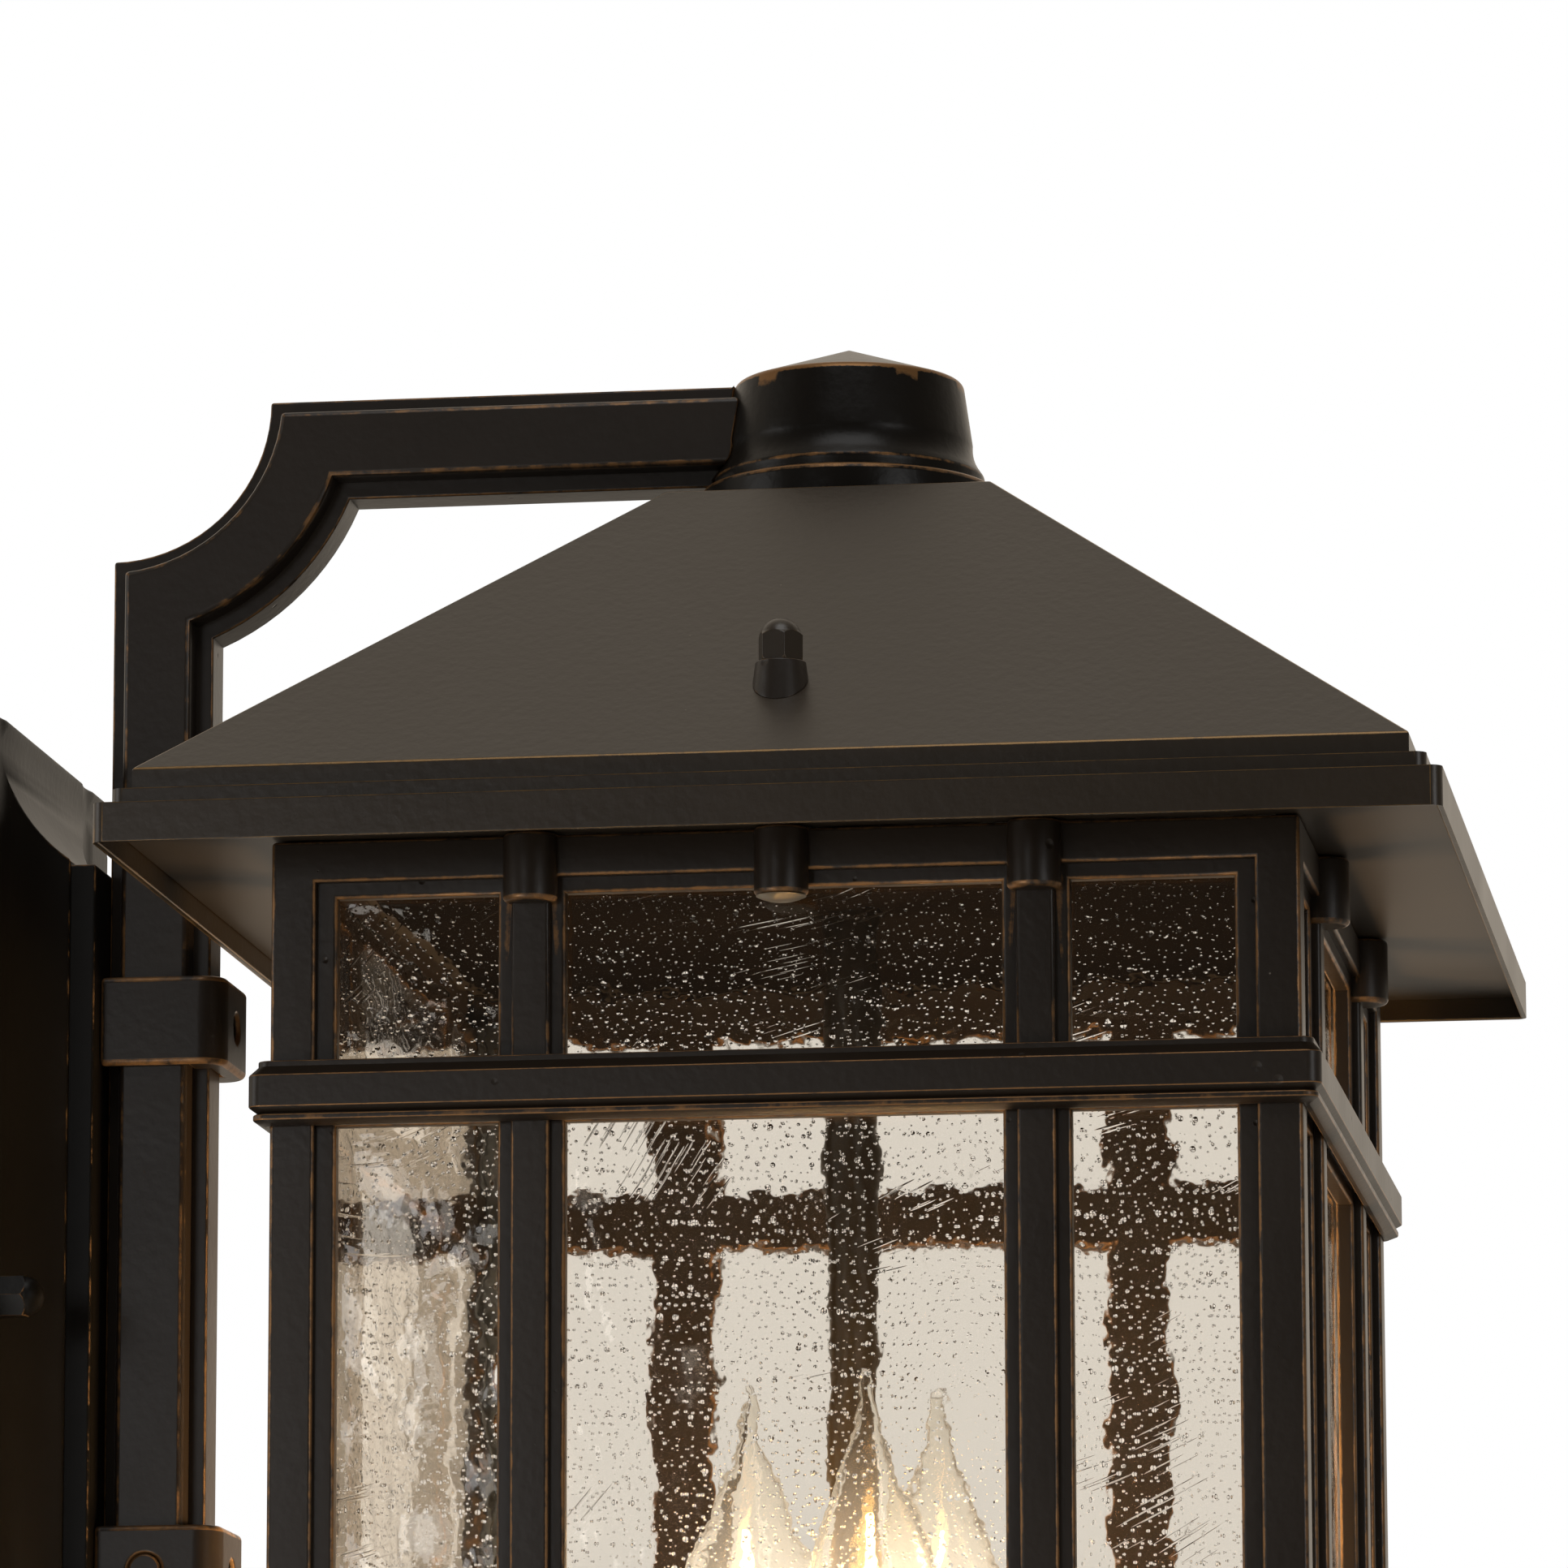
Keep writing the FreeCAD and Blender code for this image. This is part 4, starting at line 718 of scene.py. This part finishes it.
class Bench:
    """Modelling steps that every sub-assembly shares."""

    FLAT_DEGREES: ClassVar[float] = 0.2     # faces that meet at less are one flat
    WELD_MM: ClassVar[float] = 0.002
    LEAST_MITRE_MM2: ClassVar[float] = 100.0
    SQUARE: ClassVar[float] = 0.01          # slack of a mitre's normal
    SHARP_DEGREES: ClassVar[float] = 28.0   # least angle of an edge that is rounded
    SEGMENTS: ClassVar[int] = 3
    BEND_DEGREES: ClassVar[float] = 2.0     # least angle of a bend that wears
    SHORTEST_MM: ClassVar[float] = 0.01
    BROAD_MM: ClassVar[float] = 1.0         # mean width of a face that stays unworn up to its corners
    FLAT_WEIGHT: ClassVar[int] = 100        # weight of large faces in the shading

    @staticmethod
    def select_only(*pieces: Piece) -> None:
        """Select some objects and make the first one active.

        Args:
            pieces: the objects.
        """
        bpy.ops.object.select_all(action="DESELECT")
        for piece in pieces:
            piece.select_set(True)
        bpy.context.view_layer.objects.active = pieces[0]

    @classmethod
    @contextmanager
    def editing(cls, piece: Piece) -> Iterator[None]:
        """Open one piece in edit mode and close it again.

        Args:
            piece: object to edit.
        """
        cls.select_only(piece)
        bpy.ops.object.mode_set(mode="EDIT")
        yield
        bpy.ops.object.mode_set(mode="OBJECT")

    @classmethod
    def carry_over(cls, node: str) -> Piece:
        """Copy a solid's mesh, merge its triangles and clear the edges inside its flats.

        Args:
            node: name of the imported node.

        Returns:
            The new piece.
        """
        piece = add_object(node + "_piece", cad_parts[node].data.copy())
        piece.data.materials.clear()
        cls.merge(piece)
        with cls.editing(piece):
            bpy.ops.mesh.dissolve_limited(angle_limit=math.radians(cls.FLAT_DEGREES))
        return piece

    @classmethod
    def merge(cls, piece: Piece) -> None:
        """Merge corners that meet, and leave every face selected.

        Args:
            piece: object to change.
        """
        with cls.editing(piece):
            bpy.ops.mesh.select_all(action="SELECT")
            bpy.ops.mesh.customdata_custom_splitnormals_clear()
            bpy.ops.mesh.remove_doubles(threshold=cls.WELD_MM * MM)

    @classmethod
    def is_mitre(cls, face: bpy.types.MeshPolygon) -> bool:
        """Tell if a face is a large upright one at 45 degrees.

        Args:
            face: face of a frame.

        Returns:
            True for a mitre.
        """
        across, deep, up = (abs(part) for part in face.normal)
        return (abs(across - deep) < cls.SQUARE and up < cls.SQUARE
                and face.area > cls.LEAST_MITRE_MM2 * MM * MM)

    @classmethod
    def join(cls, pieces: Sequence[Piece], name: str) -> Piece:
        """Join pieces that were mitred at their ends into one, without the mitre faces.

        Args:
            pieces: objects with mitred ends.
            name: name of the joined object.

        Returns:
            The joined object.
        """
        for piece in pieces:
            with cls.editing(piece):
                bpy.ops.mesh.select_mode(type="FACE")
                bpy.ops.mesh.select_all(action="DESELECT")
            piece.data.polygons.foreach_set("select", [cls.is_mitre(face) for face in piece.data.polygons])
            with cls.editing(piece):
                bpy.ops.mesh.delete(type="ONLY_FACE")
        cls.select_only(*pieces)
        bpy.ops.object.join()
        joined = bpy.context.view_layer.objects.active
        joined.name = name
        cls.merge(joined)
        with cls.editing(joined):
            bpy.ops.mesh.vert_connect_concave()
        return joined

    @classmethod
    def apply(cls, piece: Piece, kind: str, **settings: Any) -> None:
        """Add a modifier and apply it.

        Args:
            piece: object to change.
            kind: modifier type.
            settings: properties of the modifier.
        """
        cls.select_only(piece)
        modifier = piece.modifiers.new(kind.lower(), kind)
        for name, value in settings.items():
            setattr(modifier, name, value)
        bpy.ops.object.modifier_apply(modifier=modifier.name)

    @staticmethod
    def folds(mesh: bpy.types.Mesh) -> Dict[Tuple[int, int], List[bpy.types.MeshPolygon]]:
        """Find the two faces at each edge.

        Args:
            mesh: closed mesh.

        Returns:
            Pairs of faces by edge.
        """
        sides: Dict[Tuple[int, int], List[bpy.types.MeshPolygon]] = {}
        for face in mesh.polygons:
            for key in face.edge_keys:
                sides.setdefault(key, []).append(face)
        return {key: faces for key, faces in sides.items() if len(faces) == 2}

    @staticmethod
    def hollow(mesh: bpy.types.Mesh, line: bpy.types.MeshEdge, faces: Sequence[bpy.types.MeshPolygon]) -> bool:
        """Tell if two faces meet at an inner corner, where the surface folds towards the eye.

        Args:
            mesh: closed mesh.
            line: edge between the faces.
            faces: the two faces.

        Returns:
            True at an inner corner.
        """
        start, end = line.vertices
        corners = list(faces[0].vertices)
        here = corners.index(start)
        ahead = corners[(here + 1) % len(corners)] == end
        along = mesh.vertices[end].co - mesh.vertices[start].co
        turn = faces[0].normal.cross(faces[1].normal).dot(along)
        return turn < 0 if ahead else turn > 0

    @classmethod
    def round_edges(cls, piece: Piece, edge: Edge, corner_mm: float = 0.0,
                    at_corner: Optional[Callable[[Vector], bool]] = None) -> None:
        """Round the sharp outer edges and mark their crests as worn.

        Args:
            piece: object to change.
            edge: how its edges are rounded, rubbed and shaded.
            corner_mm: width of the rounding on the edges that are rounded more.
            at_corner: tells from the middle of an edge if it is one of those.
        """
        mesh = piece.data
        folds = cls.folds(mesh)
        widest = max(edge.width_mm, corner_mm)
        least_turn = math.radians(cls.SHARP_DEGREES)
        weights = []
        for line in mesh.edges:
            faces = folds.get(line.key)
            start, end = (mesh.vertices[i].co for i in line.vertices)
            sharp = faces is not None and faces[0].normal.angle(faces[1].normal, 0.0) > least_turn
            if not sharp or cls.hollow(mesh, line, faces) or (end - start).length < edge.least_mm * MM:
                weights.append(0.0)
            elif at_corner is not None and at_corner(start.lerp(end, 0.5)):
                weights.append(corner_mm / widest)
            else:
                weights.append(edge.width_mm / widest)
        mesh.attributes.new("bevel_weight_edge", "FLOAT", "EDGE").data.foreach_set("value", weights)
        cls.apply(piece, "BEVEL", width=widest * MM, segments=cls.SEGMENTS, limit_method="WEIGHT",
                  use_clamp_overlap=False, loop_slide=False)
        cls.mark_wear(piece, edge)
        cls.smooth(piece, edge.crease)

    @classmethod
    def mark_wear(cls, piece: Piece, edge: Edge) -> None:
        """Write the wear attribute: full on tight outer bends, none where a flat begins.

        Args:
            piece: object with rounded edges.
            edge: how its edges are rubbed.
        """
        mesh = piece.data
        values = [0.0] * len(mesh.vertices)
        for (start, end), (one, two) in cls.folds(mesh).items():
            turn = one.normal.angle(two.normal, 0.0)
            if turn < math.radians(cls.BEND_DEGREES) or (two.center - one.center).dot(one.normal) > 0:
                continue
            length = cls.span(mesh, start, end)
            radius = (one.area + two.area) / 2 / max(length, cls.SHORTEST_MM * MM) / turn
            # Full up to half of the blunt radius, then fading to none.
            worn = edge.wear * min(1.0, max(0.0, 2 - 2 * radius / (edge.blunt_mm * MM)))
            values[start] = max(values[start], worn)
            values[end] = max(values[end], worn)
        for face in mesh.polygons:
            longest = max(cls.span(mesh, start, end) for start, end in face.edge_keys)
            if face.area > cls.BROAD_MM * MM * longest:
                for corner in face.vertices:
                    values[corner] = 0.0
        mesh.attributes.new("wear", "FLOAT", "POINT").data.foreach_set("value", values)

    @staticmethod
    def span(mesh: bpy.types.Mesh, start: int, end: int) -> float:
        """Distance between two corners of a mesh."""
        return (mesh.vertices[start].co - mesh.vertices[end].co).length

    @classmethod
    def smooth(cls, piece: Piece, crease: float = Edge.crease) -> None:
        """Shade smooth up to an angle, with large faces kept flat.

        Args:
            piece: object to shade.
            crease: least angle in degrees of an edge that is shaded sharp.
        """
        cls.select_only(piece)
        bpy.ops.object.shade_smooth_by_angle(angle=math.radians(crease))
        cls.apply(piece, "WEIGHTED_NORMAL", keep_sharp=True, weight=cls.FLAT_WEIGHT)

    @staticmethod
    def dress(piece: Piece, material: bpy.types.Material, body: str, slot: str, nodes: Sequence[str]) -> None:
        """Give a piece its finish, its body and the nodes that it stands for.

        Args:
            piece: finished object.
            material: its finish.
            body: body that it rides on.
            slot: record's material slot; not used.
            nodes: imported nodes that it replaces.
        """
        piece.data.materials.clear()
        piece.data.materials.append(material)
        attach(piece, body)
        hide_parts(*nodes)
        LOG.info("%s: %d faces on %s", piece.name, len(piece.data.polygons), body)


@dataclass
class SubAssembly:
    """A group of pieces that are dressed together."""

    finishes: Finishes

    def worn(self, node: str, material: bpy.types.Material, body: Body, edge: Edge, slot: str) -> None:
        """Carry a node over with rounded, worn edges.

        Args:
            node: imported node.
            material: its finish.
            body: body that it rides on.
            edge: how its edges are rounded, rubbed and shaded.
            slot: record's material slot.
        """
        piece = Bench.carry_over(node)
        Bench.round_edges(piece, edge)
        Bench.dress(piece, material, body.value, slot, [node])

    def cast(self, node: str, body: Body, edge: Edge) -> None:
        """Carry a bronze casting over."""
        self.worn(node, self.finishes.cast, body, edge, "cast_bronze")

    def sheet(self, node: str, body: Body, edge: Edge) -> None:
        """Carry a piece of bronze-painted sheet over."""
        self.worn(node, self.finishes.sheet, body, edge, "sheet_bronze")

    def steel(self, node: str, body: Body, edge: Edge) -> None:
        """Carry a plated steel piece over."""
        self.worn(node, self.finishes.steel, body, edge, "steel")


@dataclass
class WallMount(SubAssembly):
    """Back plate with its gasket, crossbar, studs and cap nuts."""

    plate_edge: Edge = Edge(0.6, wear=0.35, crease=12.0)    # the cove's mitres are shaded sharp
    strap_edge: Edge = Edge(0.25)
    nut_edge: Edge = Edge(0.12, wear=0.5)

    def build(self) -> None:
        """Build and dress the pieces."""
        plate = self.finishes.plate
        self.worn("back_plate", plate, Body.WALL_UNIT, self.plate_edge, "cast_bronze")
        self.worn("plate_gasket", self.finishes.foam, Body.WALL_UNIT, self.strap_edge, "gasket")
        self.steel("mounting_crossbar", Body.WALL_UNIT, self.strap_edge)
        self.steel("mounting_studs", Body.WALL_UNIT, self.strap_edge)
        self.worn("wall_nut_left", plate, Body.WALL_NUT_LEFT, self.nut_edge, "cast_bronze")
        self.worn("wall_nut_right", plate, Body.WALL_NUT_RIGHT, self.nut_edge, "cast_bronze")


@dataclass
class Bracket(SubAssembly):
    """Scooped bracket with its two collars, cross pin and set screws."""

    bar_edge: Edge = Edge(0.6, wear=0.65)
    collar_edge: Edge = Edge(1.1, wear=0.8)
    pin_edge: Edge = Edge(0.15, wear=0.6)
    screw_edge: Edge = Edge(0.15)

    def build(self) -> None:
        """Build and dress the pieces."""
        self.cast("bracket", Body.WALL_UNIT, self.bar_edge)
        self.cast("upper_collar", Body.WALL_UNIT, self.collar_edge)
        self.cast("lower_collar", Body.WALL_UNIT, self.collar_edge)
        self.cast("collar_pin", Body.WALL_UNIT, self.pin_edge)
        self.steel("set_screws", Body.WALL_UNIT, self.screw_edge)


@dataclass
class Roof(SubAssembly):
    """Hub, roof shell, soffit, bosses and roof cap nuts."""

    hub_edge: Edge = Edge(0.6, wear=0.95)
    eave_edge: Edge = Edge(0.45, wear=0.9, least_mm=5.0, blunt_mm=4.5)
    boss_edge: Edge = Edge(0.3, wear=0.3)
    cap_edge: Edge = Edge(0.12, wear=0.4)
    hidden_edge: Edge = Edge(0.3)

    def build(self) -> None:
        """Build and dress the pieces."""
        sheet = self.finishes.sheet
        self.worn("hub", self.finishes.spun, Body.WALL_UNIT, self.hub_edge, "cast_bronze")
        self.sheet("roof_shell", Body.WALL_UNIT, self.eave_edge)
        self.worn("soffit_pan", self.finishes.soffit, Body.WALL_UNIT, self.hidden_edge, "sheet_bronze")
        self.cast("nut_bosses", Body.WALL_UNIT, self.boss_edge)
        self.worn("roof_nut_left", sheet, Body.ROOF_NUT_LEFT, self.cap_edge, "cast_bronze")
        self.worn("roof_nut_right", sheet, Body.ROOF_NUT_RIGHT, self.cap_edge, "cast_bronze")
        self.steel("hub_nipple", Body.WALL_UNIT, self.hidden_edge)
        self.steel("hub_lock_nut", Body.WALL_UNIT, self.hidden_edge)


@dataclass
class Cage(SubAssembly):
    """Frames, mid rail, seeded panes, corner angles, screws and base of the cage."""

    width_mm: float = 216.0
    corner_slack_mm: float = 0.1
    corner_mm: float = 1.1
    frame_edge: Edge = Edge(0.9, wear=0.65, least_mm=0.5)
    pane_edge: Edge = Edge(0.4)
    rail_edge: Edge = Edge(0.25, wear=0.8)
    strip_edge: Edge = Edge(0.25)
    tray_edge: Edge = Edge(0.5, wear=0.5)
    finial_edge: Edge = Edge(0.7, wear=0.7)
    sides: Tuple[str, ...] = ("front", "right", "rear", "left")
    wavy_sides: Tuple[str, ...] = ("right", "left")

    def build(self) -> None:
        """Build and dress the pieces."""
        self.frames()
        for side in self.sides:
            glass = self.finishes.glass if side in self.wavy_sides else self.finishes.calm_glass
            self.worn("glass_" + side, glass, Body.CAGE, self.pane_edge, "seeded_glass")
        self.cast("mid_rail", Body.CAGE, self.rail_edge)
        self.steel("corner_angles", Body.CAGE, self.strip_edge)
        self.steel("cage_screws", Body.CAGE, self.strip_edge)
        self.steel("tray_screws", Body.CAGE, self.strip_edge)
        self.sheet("base_tray", Body.CAGE, self.tray_edge)
        self.cast("base_finial", Body.CAGE, self.finial_edge)

    def frames(self) -> None:
        """Join the four frames into one casting with rounded corner posts."""
        nodes = ["cage_frame_" + side for side in self.sides]
        piece = Bench.join([Bench.carry_over(node) for node in nodes], "cage_frames_piece")
        Bench.round_edges(piece, self.frame_edge, self.corner_mm, self.at_corner)
        Bench.dress(piece, self.finishes.cast, Body.CAGE.value, "cast_bronze", nodes)

    def at_corner(self, middle: Vector) -> bool:
        """Tell if an edge is an outer corner of the cage, from its middle."""
        near = self.width_mm / 2 - self.corner_slack_mm
        return abs(middle.x) > near * MM and abs(middle.y - AXIS_Y * MM) > near * MM


@dataclass
class LampCluster(SubAssembly):
    """Stem, cluster body and the three candle lamps."""

    lamp_count: int = 3
    plain_edge: Edge = Edge(0.4)
    body_edge: Edge = Edge(0.4, wear=0.3)

    def build(self) -> None:
        """Build and dress the pieces."""
        ivory, porcelain = self.finishes.ivory, self.finishes.porcelain
        self.sheet("stem", Body.WALL_UNIT, self.plain_edge)
        self.sheet("cluster_body", Body.WALL_UNIT, self.body_edge)
        self.steel("cluster_nut", Body.WALL_UNIT, self.plain_edge)
        for number in range(1, self.lamp_count + 1):
            self.worn("candle_sleeve_%d" % number, ivory, Body.WALL_UNIT, self.plain_edge, "sleeve")
            self.worn("lamp_socket_%d" % number, porcelain, Body.WALL_UNIT, self.plain_edge, "socket")
            self.lamp(number)

    def lamp(self, number: int) -> None:
        """Dress one lamp's glass, base and filament.

        Args:
            number: number of the lamp, which is also its body's.
        """
        body = "lamp_%d" % number
        for part, material, slot in (
            ("glass", self.finishes.lamp_glass, "lamp_glass"),
            ("base", self.finishes.brass, "brass"),
            ("filament", self.finishes.filament, "filament"),
        ):
            node = "%s_%s" % (body, part)
            piece = Bench.carry_over(node)
            Bench.smooth(piece)
            Bench.dress(piece, material, body, slot, [node])


@dataclass(frozen=True)
class Softbox:
    """A square soft light: its place, the point that it faces, its width and its power."""

    name: str
    at_mm: Point
    to_mm: Point
    size_mm: float
    watts: float

    def build(self) -> None:
        """Add the light."""
        data = bpy.data.lights.new(self.name, "AREA")
        data.size = self.size_mm * MM
        data.energy = self.watts
        softbox = add_object(self.name, data)
        place = Vector(self.at_mm) * MM
        softbox.location = place
        softbox.rotation_euler = (Vector(self.to_mm) * MM - place).to_track_quat("-Z", "Y").to_euler()
        softbox.visible_camera = False


@dataclass
class Studio:
    """Light tent, floor and the camera at the photograph's view."""

    camera_at_mm: Point = (-1921.55, -448.06, -245.30)
    yaw: float = 0.1421
    pitch: float = 0.1845
    roll: float = -0.0022
    lens_mm: float = 205.52
    sensor_mm: float = 36.0
    clip_m: Tuple[float, float] = (0.05, 50.0)
    floor_z_mm: float = -640.0
    floor_m: float = 12.0
    tent: str = "#f4f3f0"
    ambient: float = 0.42
    sheen: str = "#fff1de"
    # What metal mirrors, by heading: axis, where a change starts and ends, share of light there.
    # Dark on the camera's side, a little dimmer overhead, and dim away from the wall.
    sheen_shares: Tuple[Tuple[str, float, float, float, float], ...] = (
        ("X", -0.8, 0.6, 0.05, 1.0), ("Z", 0.3, 0.9, 1.0, 0.75), ("Y", -0.9, -0.1, 0.3, 1.0))
    softboxes: Tuple[Softbox, ...] = (
        Softbox("overhead_softbox", (-800, -300, 1400), (0, -188, 100), size_mm=1000, watts=7.5),
        Softbox("side_softbox", (-1300, -1500, 300), (0, -188, 0), size_mm=700, watts=4.5),
        Softbox("wall_side_softbox", (-700, 1300, 300), (0, -188, 50), size_mm=700, watts=3.0),
        Softbox("front_card", (-1950, 480, 100), (0, -60, -60), size_mm=420, watts=2.0),
        Softbox("low_fill", (-600, 300, -450), (0, -60, -120), size_mm=300, watts=1.6))
    # Axes of the three lamps, X and Y.
    bulbs_mm: Tuple[Tuple[float, float], ...] = ((17.3, -204.7), (-23.1, -194.6), (5.8, -164.7))
    bulb_z_mm: float = -70.0
    bulb_radius_mm: float = 16.0
    bulb_watts: float = 2.2
    bulb_colour: str = "#fff0d8"

    def build(self) -> None:
        """Build floor, world, lamps and camera."""
        self.floor()
        self.world()
        for softbox in self.softboxes:
            softbox.build()
        for number, (x, y) in enumerate(self.bulbs_mm, 1):
            self.bulb("bulb_light_%d" % number, (x, y, self.bulb_z_mm))
        self.camera()

    def floor(self) -> None:
        """Pale floor well below the lantern."""
        bpy.ops.object.select_all(action="DESELECT")
        bpy.ops.mesh.primitive_plane_add(size=self.floor_m, location=(0, 0, self.floor_z_mm * MM))
        floor = bpy.context.active_object
        floor.name = "studio_floor"
        floor.data.materials.append(FloorPaint().build())

    def world(self) -> None:
        """Even light, with a white backdrop for sight and for what is seen straight through the glass."""
        world = bpy.data.worlds.new("light_tent")
        bpy.context.scene.world = world
        world.use_nodes = True
        tree = world.node_tree
        tree.nodes.clear()
        tent = add_node(tree, "ShaderNodeBackground", inputs={
            "Color": linear(self.tent), "Strength": self.ambient})
        white = add_node(tree, "ShaderNodeBackground", inputs={"Color": linear(WHITE), "Strength": 1.0})
        path = add_node(tree, "ShaderNodeLightPath")
        mirrored = add_node(tree, "ShaderNodeMath", {"operation": "MINIMUM"}, {
            0: path.outputs["Glossy Depth"], 1: 1.0})
        bounced = add_node(tree, "ShaderNodeMath", {"operation": "MAXIMUM"}, {
            0: path.outputs["Glossy Depth"], 1: path.outputs["Diffuse Depth"]})
        straight = add_node(tree, "ShaderNodeMath", {"operation": "LESS_THAN"}, {
            0: bounced.outputs[0], 1: 0.5})     # no bounce yet
        through = add_node(tree, "ShaderNodeMath", {"operation": "MULTIPLY"}, {
            0: path.outputs["Is Transmission Ray"], 1: straight.outputs[0]})
        seen = add_node(tree, "ShaderNodeMath", {"operation": "MAXIMUM"}, {
            0: path.outputs["Is Camera Ray"], 1: through.outputs[0]})
        heading = add_node(tree, "ShaderNodeSeparateXYZ", inputs={
            "Vector": add_node(tree, "ShaderNodeTexCoord").outputs["Generated"]})
        level: Any = 1.0
        for axis, start, stop, first, last in self.sheen_shares:
            share = add_node(tree, "ShaderNodeMapRange", inputs={
                "Value": heading.outputs[axis], "From Min": start, "From Max": stop,
                "To Min": first, "To Max": last})
            level = add_node(tree, "ShaderNodeMath", {"operation": "MULTIPLY"}, {
                0: level, 1: share.outputs["Result"]}).outputs[0]
        sheen = add_node(tree, "ShaderNodeBackground", inputs={"Color": linear(self.sheen), "Strength": level})
        lit = add_node(tree, "ShaderNodeMixShader", inputs={
            0: mirrored.outputs[0], 1: tent.outputs["Background"], 2: sheen.outputs["Background"]})
        mix = add_node(tree, "ShaderNodeMixShader", inputs={
            0: seen.outputs[0], 1: lit.outputs["Shader"], 2: white.outputs["Background"]})
        add_node(tree, "ShaderNodeOutputWorld", inputs={"Surface": mix.outputs["Shader"]})

    def bulb(self, name: str, at_mm: Point) -> None:
        """Add the light of one lamp.

        Args:
            name: its name.
            at_mm: its place.
        """
        data = bpy.data.lights.new(name, "POINT")
        data.energy = self.bulb_watts
        data.color = linear(self.bulb_colour)[:3]
        data.shadow_soft_size = self.bulb_radius_mm * MM
        light = add_object(name, data)
        light.location = Vector(at_mm) * MM
        light.visible_camera = False
        light.visible_transmission = False
        light.visible_glossy = False

    def camera(self) -> None:
        """Camera fitted to the photograph's edges."""
        data = bpy.data.cameras.new("photo_camera")
        data.lens = self.lens_mm
        data.sensor_width = self.sensor_mm
        data.clip_start, data.clip_end = self.clip_m
        camera = add_object("photo_camera", data)
        ahead = Vector((math.cos(self.pitch) * math.cos(self.yaw), math.cos(self.pitch) * math.sin(self.yaw),
                        math.sin(self.pitch)))
        right = Vector((math.sin(self.yaw), -math.cos(self.yaw), 0.0))
        up = right.cross(ahead)
        turn_right = right * math.cos(self.roll) + up * math.sin(self.roll)
        turn_up = up * math.cos(self.roll) - right * math.sin(self.roll)
        turn = Matrix((turn_right, turn_up, -ahead)).transposed()
        camera.matrix_world = Matrix.Translation(Vector(self.camera_at_mm) * MM) @ turn.to_4x4()
        bpy.context.scene.camera = camera


def main() -> None:
    """Build the lantern and its studio."""
    logging.basicConfig(level=logging.INFO, format="%(message)s")
    bpy.context.scene.view_settings.view_transform = "Standard"
    finishes = Finishes()
    for assembly in (WallMount, Bracket, Roof, Cage, LampCluster):
        assembly(finishes).build()
        LOG.info("%s done", assembly.__name__)
    Studio().build()


if __name__ == "__main__":
    main()
